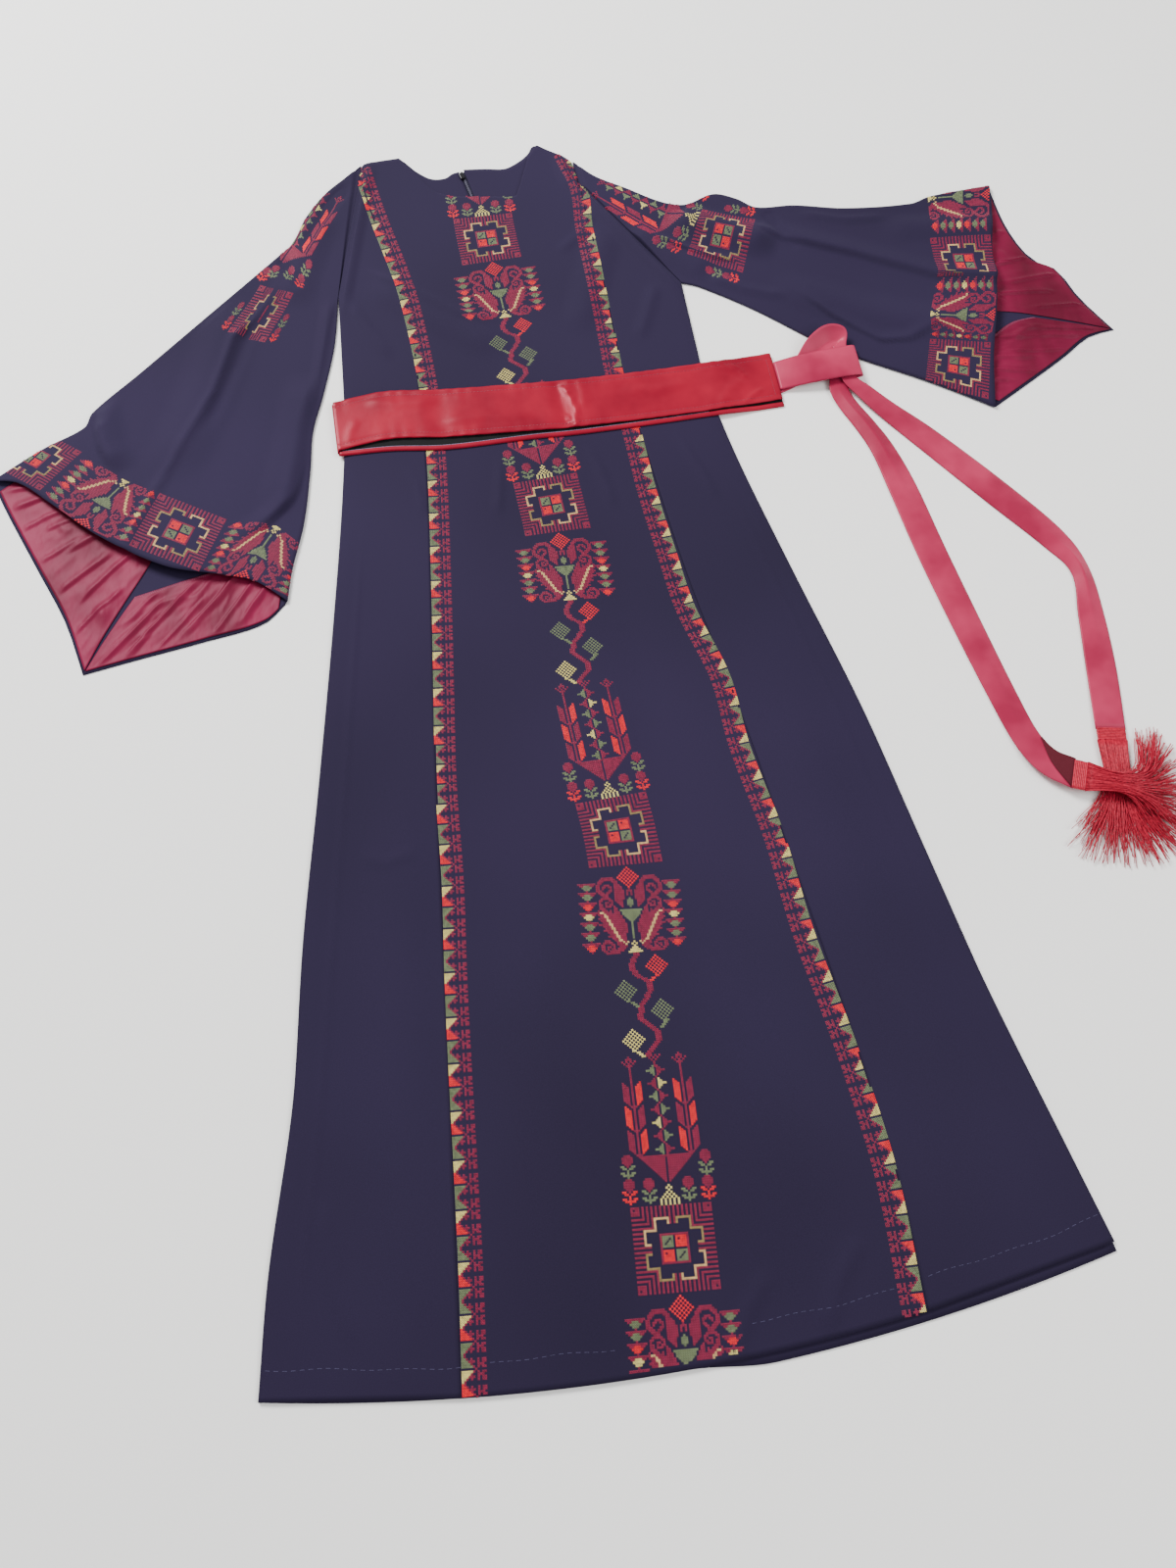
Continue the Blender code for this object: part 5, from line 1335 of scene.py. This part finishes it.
# Cuff bands, 37 stitches deep: stations along the hem with the place at the hem and at the inner edge
cuffs = {
    "left": {"rows": (
        (-37, -0.615, 1.0547, -0.5688, 1.1026), (0, -0.5562, 1.0038, -0.5096, 1.0505),
        (6.5, -0.5485, 0.9886, -0.5006, 1.0375), (27.5, -0.5127, 0.9504, -0.4621, 1.0025),
        (48.5, -0.4717, 0.9181, -0.4319, 0.9828), (55, -0.4595, 0.913, -0.4244, 0.9789),
        (92, -0.3869, 0.869, -0.353, 0.9326), (98.5, -0.3802, 0.8653, -0.3411, 0.9281),
        (119.5, -0.3444, 0.857, -0.3004, 0.9175), (140.5, -0.3043, 0.8289, -0.2698, 0.8837),
        (150, -0.285, 0.815, -0.256, 0.868)), "flip": 1,
        "squares": (-18.5, 73.5), "vases": (27.5, 119.5)},
    "right": {"rows": (
        (-48, 0.652, 1.318, 0.562, 1.322), (-27.5, 0.6322, 1.2708, 0.5535, 1.2771),
        (-6.5, 0.6143, 1.2158, 0.5409, 1.2243), (0, 0.611, 1.1996, 0.5358, 1.2084),
        (26, 0.5978, 1.136, 0.5291, 1.1525), (39, 0.5973, 1.1318, 0.5256, 1.1439),
        (43.5, 0.5953, 1.1207, 0.5213, 1.1322), (64.5, 0.5797, 1.0758, 0.501, 1.0875),
        (81, 0.5672, 1.0484, 0.4968, 1.0662), (92, 0.5634, 1.0383, 0.4934, 1.0561),
        (129, 0.5391, 0.9605, 0.4723, 0.997), (150, 0.530, 0.915, 0.462, 0.955)), "flip": -1,
        "squares": (18.5, 110.5), "vases": (-27.5, 64.5)},
}


def cuffPlace(cuff):
    rows = [(row[0], row) for row in cuff["rows"]]
    keys = [row[0] for row in cuff["rows"]]
    table = np.array([row[1:] for row in cuff["rows"]])

    def place(c, r):
        hemX, hemY, innerX, innerY = [float(np.interp(c, keys, table[:, i])) for i in range(4)]
        share = (r + 0.5) / 37
        return between(hemX, innerX, share), between(hemY, innerY, share)
    return place


def cuffCells(cuff):
    cells = {}
    for middle in cuff["squares"]:
        cells.update(moved(square, math.floor(middle), 0, cuff["flip"]))
    for middle in cuff["vases"]:
        for (c, r), letter in vase.items():
            if 6 <= r <= 42:
                cells[(c * cuff["flip"] + round(middle), r - 6)] = letter
    return cells


sleeveSurfaces = {"left": Surface(sleeveLeft), "right": Surface(sleeveRight)}
for side, cuff in cuffs.items():
    name = side + "CuffEmbroidery"
    work[name] = embroider(name, cuffCells(cuff), cuffPlace(cuff), sleeveSurfaces[side])

# Sleeve tops: a fork down from the shoulder, then a square with a flower pair on either side
tops = {
    # row, its middle x and y, and the step of one stitch to the right
    "left": {"fork": ((6, -0.2070, 1.3946, 0.001542, -0.000658), (46, -0.2486, 1.3240, 0.001025, -0.001858),
                      (58, -0.2647, 1.3019, 0.001234, -0.001937), (67, -0.2745, 1.2850, 0.00146, -0.00163)),
             "square": ((-0.2926, 1.2685), (-0.2537, 1.2465), (-0.2940, 1.1799), (-0.3354, 1.1967)),
             "widths": ((0, 0), (5, 0.22), (12, 0.40), (24, 0.52), (31, 0.74), (37, 1))},
    "right": {"fork": ((6, 0.1557, 1.3638, 0.001233, 0.001542), (46, 0.2194, 1.3070, 0.0013, 0.002517),
                       (58.5, 0.2397, 1.2912, 0.001446, 0.002314), (67, 0.2528, 1.2828, 0.001469, 0.002291)),
              "square": ((0.2307, 1.2334), (0.2651, 1.3021), (0.3282, 1.2785), (0.2942, 1.1969)),
              "widths": ((0, 0), (37, 1))},
}


def forkPlace(table):
    keys = [row[0] for row in table]
    values = np.array([row[1:] for row in table])

    def place(c, r):
        low = min(max(r, keys[0]), keys[-1])
        x, y, stepX, stepY = [float(np.interp(low, keys, values[:, i])) for i in range(4)]
        past = r - low
        pair = (0, 1) if past < 0 else (-2, -1)
        span = keys[pair[1]] - keys[pair[0]]
        x += (values[pair[1], 0] - values[pair[0], 0]) / span * past
        y += (values[pair[1], 1] - values[pair[0], 1]) / span * past
        return x + stepX * c, y + stepY * c
    return place


def squarePlace(top):
    a, b, c, d = [Vector(corner) for corner in top["square"]]

    def place(across, down):
        share = alongStraightValue(top["widths"], across + 18.5)
        beyond = across + 18.5 - min(max(across + 18.5, 0), 37)
        upper, lower = a.lerp(b, share + beyond / 37), d.lerp(c, share + beyond / 37)
        spot = upper.lerp(lower, (down + 0.5) / 37)
        return spot.x, spot.y
    return place


for side, top in tops.items():
    drawn = {key: letter for key, letter in fork.items() if side == "right" or letter != "y" or key[1] < 58}
    name = side + "SleeveForkEmbroidery"
    work[name] = embroider(name, drawn, forkPlace(top["fork"]), sleeveSurfaces[side])
    pairs = {}
    for middle in (-24, 24):
        pairs.update(moved(flowerCells("g"), middle, 14))
        pairs.update(moved(flowerCells("r"), middle, 25))
    name = side + "SleeveSquareEmbroidery"
    work[name] = embroider(name, merge(square, pairs), squarePlace(top), sleeveSurfaces[side])


def flowerPlace(headX, headY, leafX, leafY):
    # Rows run from the middle of a flower's head to the middle of its leaves
    stepX, stepY = (leafX - headX) / 5.5, (leafY - headY) / 5.5
    return lambda c, r: (headX + stepX * (r - 2) - stepY * c, headY + stepY * (r - 2) + stepX * c)


# Two flowers lie over the fold beside the left sleeve's fork: head and leaves of each
foldFlowers = {"g": (-0.2718, 1.2920, -0.2766, 1.2828), "r": (-0.2828, 1.2899, -0.2894, 1.2806)}
for number, (leaf, spots) in enumerate(foldFlowers.items()):
    name = "leftSleeveFlower" + str(number + 1)
    work[name] = embroider(name, flowerCells(leaf), flowerPlace(*spots), sleeveSurfaces["left"])
print("embroidery made")


# Tassels: a few hundred rayon threads each, bound at the ribbon's end and splaying as they lie

tassels = {
    "threads": 250, "pieces": 13, "radius": 0.44 * mm, "head": 14 * mm, "headRows": 8, "headHeight": 4.2 * mm,
    "color": "c22640",
    # threads: degrees strayed, shortest as a share of the length, waves in mm, where they start and how
    # often they turn, and the lowest thread's height with the step up to the highest
    "stray": 11, "shortest": 0.70, "waves": (0.8, 3.0), "phases": (0, 6.3), "turns": (2.0, 5.5),
    "floor": (0.6 * mm, 3.4 * mm),
    # bound rows: how far in from the ribbon's sides, height over it, ripple, half height and how much
    # flatter they lie than they stand
    "boundIn": 1.2 * mm, "boundUp": 2.1 * mm, "boundRipple": 0.15 * mm, "bound": 1.0 * mm, "boundFlat": 2.0,
    # head x, y, heading in degrees, width, length, left and right spread, the shares of the length
    # between which they turn, base, hump, share where they drop
    "upper": {"at": (0.4994, 0.4778), "heading": -24, "width": 0.034, "length": 0.122, "spread": (96, -30),
              "turnEnds": (0.32, 0.80), "base": 7.8 * mm, "hump": 6.0 * mm, "dropFrom": 0.45,
              "pinch": 0.40, "seed": 5},
    "lower": {"at": (0.5436, 0.5157), "heading": -101, "width": 0.032, "length": 0.142, "spread": (46, -38),
              "turnEnds": (0.30, 0.85), "base": 0.4 * mm, "hump": 1.0 * mm, "dropFrom": 0.10,
              "pinch": 0.15, "seed": 9},
}
tasselThread = makeThread("crimson rayon thread", tassels["color"], 0.42)


def addTube(points, faces, path, radius, sides=3, flat=1.0):
    # Tube along a path of points, closed at its ends
    start = len(points)
    for i, place in enumerate(path):
        ahead = path[min(i + 1, len(path) - 1)] - path[max(i - 1, 0)]
        side = Vector((-ahead.y, ahead.x, 0.0))
        side = side.normalized() if side.length > 1e-9 else Vector((1, 0, 0))
        up = ahead.cross(side).normalized()
        up = up if up.z >= 0 else -up
        for k in range(sides):
            angle = 2 * math.pi * k / sides
            points.append(place + side * radius * math.cos(angle) + up * radius * flat * math.sin(angle))
    for i in range(len(path) - 1):
        for k in range(sides):
            a, b = start + i * sides + k, start + i * sides + (k + 1) % sides
            faces.append((a, b, b + sides, a + sides))
    faces.append(tuple(start + k for k in reversed(range(sides))))
    faces.append(tuple(start + (len(path) - 1) * sides + k for k in range(sides)))


def threadPath(tassel, share, level, rng):
    # In the head's own frame: x ahead, y to the left, z up
    count = tassels["pieces"]
    left, right = tassel["spread"]
    spread = between(right, left, share) + rng.uniform(-tassels["stray"], tassels["stray"])
    length = tassel["length"] * rng.uniform(tassels["shortest"], 1.0)
    wave = rng.uniform(*tassels["waves"]) * mm
    phase, turns = rng.uniform(*tassels["phases"]), rng.uniform(*tassels["turns"])
    y0 = (share - 0.5) * tassel["width"]
    lowest, step = tassels["floor"]
    floor = lowest + level * step
    x, y, path = 0.0, 0.0, []
    for i in range(count + 1):
        part = i / count
        if i:
            angle = math.radians(spread * smoothStep(*tassel["turnEnds"], part))
            x += math.cos(angle) * length / count
            y += math.sin(angle) * length / count
        pinch = 1.0 - tassel["pinch"] * math.sin(math.pi * min(part * 1.4, 1.0))
        side = wave * math.sin(phase + part * turns * math.pi) * part
        high = tassel["base"] + between(0.5, 1.0, level) * tassels["headHeight"] * 0.8
        hump = math.sin(math.pi * min(part * 1.15, 1.0)) * tassel["hump"] * between(0.45, 1.0, level)
        lift = wave * 0.5 * abs(math.sin(phase * 2 + part * turns * 2)) * part
        fall = smoothStep(tassel["dropFrom"], 1.0, part)
        path.append(Vector((x, y0 * pinch + y + side, between(high, floor, fall) + hump + lift)))
    return path


def makeTassel(name, tassel):
    rng = random.Random(tassel["seed"])
    turn = math.radians(tassel["heading"])
    points, faces = [], []
    for number in range(tassels["threads"]):
        share = (number + rng.random()) / tassels["threads"]
        addTube(points, faces, threadPath(tassel, share, rng.random(), rng), tassels["radius"])
    rows = tassels["headRows"]
    for row in range(rows):
        # bound rows across the ribbon's end; the last is a fine chain
        x = -tassels["head"] + (row + 0.5) * tassels["head"] / rows
        half, path = tassel["width"] / 2 - tassels["boundIn"], []
        for i in range(13):
            y = between(-half, half, i / 12)
            ripple = tassels["boundRipple"] * math.sin(i * 2.2 + row)
            path.append(Vector((x, y, tassel["base"] + tassels["boundUp"] + ripple)))
        addTube(points, faces, path, tassels["bound"], 8, tassels["boundFlat"])
    cosine, sine = math.cos(turn), math.sin(turn)
    homeX, homeY = tassel["at"][0] + shift.x, tassel["at"][1] + shift.y
    turned = [(homeX + p.x * cosine - p.y * sine, homeY + p.x * sine + p.y * cosine, p.z) for p in points]
    mesh = bpy.data.meshes.new(name)
    mesh.from_pydata(turned, [], faces)
    mesh.shade_smooth()
    return addPiece(name, mesh, tasselThread)


tasselUpper = makeTassel("tasselUpper", tassels["upper"])
tasselLower = makeTassel("tasselLower", tassels["lower"])
print("tassels made")


# Zip: a nylon coil between two woven tapes, in the centre back seam

# tape: its height, distance from the seam and half width; coil: its width, step to alternate sides,
# thread, and the heights of a tooth's ends and middle over the chain
zipParts = {"low": 0.974, "high": 1.4165, "pitch": 1.6 * mm, "height": 0.8 * mm,
            "tapeHeight": 0.22 * mm, "tapeOut": 2.3 * mm, "tapeHalf": 2.2 * mm, "tapeFlat": 0.06,
            "tooth": 2.7 * mm, "stagger": 0.25 * mm, "thread": 0.5 * mm, "over": 0.35 * mm,
            "toothEnds": -0.15 * mm, "toothMiddle": 0.3 * mm}
zipTape = makeWoven("navy woven zip tape", "16132a", 0.5)
zipCoil = makeThread("grey nylon zip coil", "5c596c", 0.4)
enamel, enamelTree, enamelShader = newMaterial("black enamelled zinc", "121218", 0.3, Metallic=0.4)
enamelPlace = addNode(enamelTree, "ShaderNodeTexCoord")
enamelWear = addNode(enamelTree, "ShaderNodeTexNoise", [("Scale", 900.0)],
                     [("Vector", enamelPlace.outputs["Object"])])
bumpOn(enamelTree, enamelShader, enamelWear.outputs["Fac"], 0.15, 0.05 * mm)


def makeZip():
    points, faces, kinds = [], [], []
    count = round((zipParts["high"] - zipParts["low"]) / zipParts["pitch"])
    for side in (-1, 1):
        path = []
        for i in range(61):
            height = between(zipParts["low"], zipParts["high"], i / 60)
            x = readCurve(body["centreBack"], 1, height) + side * zipParts["tapeOut"]
            path.append(Vector((x, height, zipParts["tapeHeight"])))
        addTube(points, faces, path, zipParts["tapeHalf"], 4, zipParts["tapeFlat"])
    kinds += [0] * len(faces)
    for i in range(count):
        height = zipParts["low"] + (i + 0.5) * zipParts["pitch"]
        x = readCurve(body["centreBack"], 1, height)
        side = zipParts["stagger"] * (1 if i % 2 else -1)
        z = zipParts["height"] + zipParts["over"]
        path = [Vector((x + zipParts["tooth"] / 2 * step + side, height,
                        z + zipParts["toothEnds" if step else "toothMiddle"])) for step in (-1, 0, 1)]
        addTube(points, faces, path, zipParts["thread"], 5)
        kinds += [1] * (len(faces) - len(kinds))
    mesh = bpy.data.meshes.new("zipChain")
    mesh.from_pydata([toFrame(p) for p in points], [], faces)
    mesh.polygons.foreach_set("material_index", kinds)
    return addPiece("zipChain", mesh, zipTape, zipCoil)


zipChain = makeZip()
slider = bpy.data.objects["back_zip_slider"]
slider.data.materials.clear()
slider.data.materials.append(enamel)
print("zip made")


# Stitching: topstitched belt, blind-stitched hem, overlocked facings

# threads are half width and height; beltClear keeps the seam clear of the belt's ends, caughtSpan is
# where along the belt the interfacing is caught down, from its left and right ends; the hem's line
# waves by height and pace, and leaves out the bands and the column; overlockStart is the share in from
# the edge where a stitch starts
stitching = {"beltIn": 7 * mm, "beltStitch": 3.0 * mm, "beltGap": 1.1 * mm, "beltClear": 0.001,
             "beltThread": (0.35 * mm, 0.3 * mm), "caughtSpan": (0.004, 0.090),
             "caughtThread": (0.55 * mm, 0.4 * mm),
             "hemUp": 26 * mm, "hemStitch": 4.0 * mm, "hemGap": 3.5 * mm, "hemThread": (0.22 * mm, 0.2 * mm),
             "hemSpan": (-0.38, 0.376), "hemWaves": ((1.2 * mm, 34), (0.8 * mm, 91)),
             "bandClear": 0.014, "columnMiddle": -0.018, "columnClear": 0.062,
             "overlockIn": 0.012, "overlockStart": 0.12,
             "overlockPitch": 2.4 * mm, "overlock": 4.0 * mm, "overlockThread": (0.35 * mm, 0.3 * mm)}


def runStitches(stitches, path, surface, length, gap, halfWidth, rise, skip=lambda x, y: False):
    # Stitches one after the other along a line of plan points
    marks = [0.0]
    for a, b in zip(path, path[1:]):
        marks.append(marks[-1] + math.dist(a, b))
    xs, ys = [p[0] for p in path], [p[1] for p in path]
    at = 0.0
    while at + length < marks[-1]:
        ends = [(float(np.interp(m, marks, xs)), float(np.interp(m, marks, ys))) for m in (at, at + length)]
        at += length + gap
        if skip(*ends[0]):
            continue
        (start, normal), (end, _) = surface.drop(*ends[0]), surface.drop(*ends[1])
        if start is not None and end is not None and (start - end).length < 2 * length:
            stitches.strand(start + normal * 0.06 * mm, end + normal * 0.06 * mm, normal, halfWidth, rise, 0)


def beltStitches():
    stitches = Needlework("beltTopstitching", [beltThread, sewingThread])
    surface = Surface(beltBand)
    left, right = belt["rows"][0][0], belt["rows"][-1][0]
    inset = belt["width"] / 2 - stitching["beltIn"]
    for offset in (-inset, inset):
        ends = left + stitching["beltClear"], right - stitching["beltIn"]
        path = [(x, readCurve(belt["rows"], 1, x) + offset)
                for x in [between(*ends, i / 120) for i in range(121)]]
        runStitches(stitches, path, surface, stitching["beltStitch"], stitching["beltGap"],
                    *stitching["beltThread"])
    x = right - stitching["beltIn"]
    y = readCurve(belt["rows"], 1, x)
    runStitches(stitches, [(x, y - inset), (x, y + inset)], surface, stitching["beltStitch"],
                stitching["beltGap"], *stitching["beltThread"])
    # the interfacing's edge is caught down beside the turned satin
    spots = []
    fromLeft, fromRight = stitching["caughtSpan"]
    for i in range(131):
        x = between(left + fromLeft, right - fromRight, i / 130)
        y = readCurve(belt["rows"], 2, x) - belt["width"] / 2 + belt["turned"]
        spots.append(Vector(toFrame((x, y, beltHeight(x) + belt["thickness"] + 0.1 * mm))))
    for start, end in zip(spots, spots[1:]):
        stitches.strand(start, end, Vector((0, 0, 1)), *stitching["caughtThread"], 1)
    return stitches.finish()


def hemStitches():
    stitches = Needlework("hemStitching", [hemThread])
    path = []
    for i in range(200):
        x = between(*stitching["hemSpan"], i / 199)
        wave = sum(height * math.sin(x * pace) for height, pace in stitching["hemWaves"])
        path.append((x, hemLift(x, 0.0) + stitching["hemUp"] + wave))

    def nearWork(x, y):
        marks = (readCurve(bands["left"]["rows"], 1, y), readCurve(bands["right"]["rows"], 1, y))
        onBand = min(abs(x - mark) for mark in marks) < stitching["bandClear"]
        return onBand or abs(x - stitching["columnMiddle"]) < stitching["columnClear"]

    runStitches(stitches, path, frontSurface, stitching["hemStitch"], stitching["hemGap"],
                *stitching["hemThread"], nearWork)
    return stitches.finish()


overlockThread = makeThread("plum overlock thread", "8a4560", 0.6)


def facingOverlock(name, shape, depth, low, high):
    stitches = Needlework(name + "Overlock", [overlockThread])
    surface = Surface(facingPieces[name])
    s = 1.0 - facings["hemMargin"] - depth
    edge = [shape.place(s, between(low, high, i / 60), True) for i in range(61)]
    inner = [shape.place(s + stitching["overlockIn"], between(low, high, i / 60), True) for i in range(61)]
    count = round(sum((b - a).length for a, b in zip(edge, edge[1:])) / stitching["overlockPitch"])
    for k in range(count):
        u = (k + 0.5) / count * 60
        i = min(int(u), 59)
        a, b = edge[i].lerp(edge[i + 1], u - i), inner[i].lerp(inner[i + 1], u - i)
        b = a + (b - a).normalized() * stitching["overlock"]
        a = a + (b - a) * stitching["overlockStart"]
        (start, normal), (end, _) = surface.drop(a.x, a.y), surface.drop(b.x, b.y)
        if start is not None and end is not None:
            stitches.strand(start + normal * 0.05 * mm, end + normal * 0.05 * mm, normal,
                            *stitching["overlockThread"], 0)
    return stitches.finish()


beltTopstitching, hemStitching, overlocks = beltStitches(), hemStitches(), {}
for side, shape in (("Left", sleeveShapeLeft), ("Right", sleeveShapeRight)):
    for kind, depth, low, high, _, _ in facings["parts"]:
        name = "facing" + side + kind
        overlocks[name] = facingOverlock(name, shape, depth, low, high)
print("stitching made")


# Riding and replacing: each piece rides on the root and hides its node. The table lists each piece with its
# node, slot, cut width, length and flat area, how it lies, what it lies on and the pieces that go with it;
# only the piece and its node are used here

def declare():
    fronts, backs = [frontCentre, frontSideLeft, frontSideRight], [backLeft, backRight]
    table = (
        (frontCentre, "front_centre_panel", "crepe", 0.425, 1.465, 0.440, "laid", backs,
         [work["centreEmbroidery"], work["leftBandEmbroidery"], work["rightBandEmbroidery"], hemStitching]),
        (frontSideLeft, "front_side_panel_left", "crepe", 0.190, 1.435, 0.156, "laid", [backLeft], []),
        (frontSideRight, "front_side_panel_right", "crepe", 0.195, 1.410, 0.157, "laid", [backRight], []),
        (backLeft, "back_panel_left", "crepe", 0.400, 1.450, 0.378, "laid", [], []),
        (backRight, "back_panel_right", "crepe", 0.400, 1.450, 0.381, "laid", [], []),
        (sleeveLeft, "sleeve_left", "crepe", 0.880, 0.630, 0.240, "laid", [],
         [work["leftCuffEmbroidery"], work["leftSleeveForkEmbroidery"], work["leftSleeveSquareEmbroidery"],
          work["leftSleeveFlower1"], work["leftSleeveFlower2"]]),
        (sleeveRight, "sleeve_right", "crepe", 0.880, 0.630, 0.240, "laid", [],
         [work["rightCuffEmbroidery"], work["rightSleeveForkEmbroidery"],
          work["rightSleeveSquareEmbroidery"]]),
        (facingPieces["facingLeftOuter"], "cuff_facing_left_outer", "facing_satin", 0.270, 0.105, 0.0255,
         "laid", [sleeveLeft], [overlocks["facingLeftOuter"]]),
        (facingPieces["facingLeftInner"], "cuff_facing_left_inner", "facing_satin", 0.215, 0.075, 0.0145,
         "laid", [sleeveLeft], [overlocks["facingLeftInner"]]),
        (facingPieces["facingRightOuter"], "cuff_facing_right_outer", "facing_satin", 0.270, 0.105, 0.0255,
         "laid", [sleeveRight], [overlocks["facingRightOuter"]]),
        (facingPieces["facingRightInner"], "cuff_facing_right_inner", "facing_satin", 0.215, 0.075, 0.0145,
         "laid", [sleeveRight], [overlocks["facingRightInner"]]),
        (beltBand, "belt_band", "belt_satin", 0.068, 1.050, 0.0714, "folded", fronts, [beltTopstitching]),
        (tieUpper, "belt_tie_upper", "belt_satin", 0.040, 0.620, 0.0248, "laid", [tieLower], [tieFlap]),
        (tieLower, "belt_tie_lower", "belt_satin", 0.035, 0.730, 0.0250, "laid", [sleeveRight], []))
    for obj, node, slot, width, length, area, held, under, pieces in table:
        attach(obj, "root")
        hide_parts(node)
        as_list(under)
        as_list(pieces)
    for obj, node, slot in ((tasselUpper, "tassel_upper", "tassel_thread"),
                            (tasselLower, "tassel_lower", "tassel_thread"),
                            (zipChain, "back_zip_chain", "zip_coil")):
        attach(obj, "root")
        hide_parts(node)


declare()
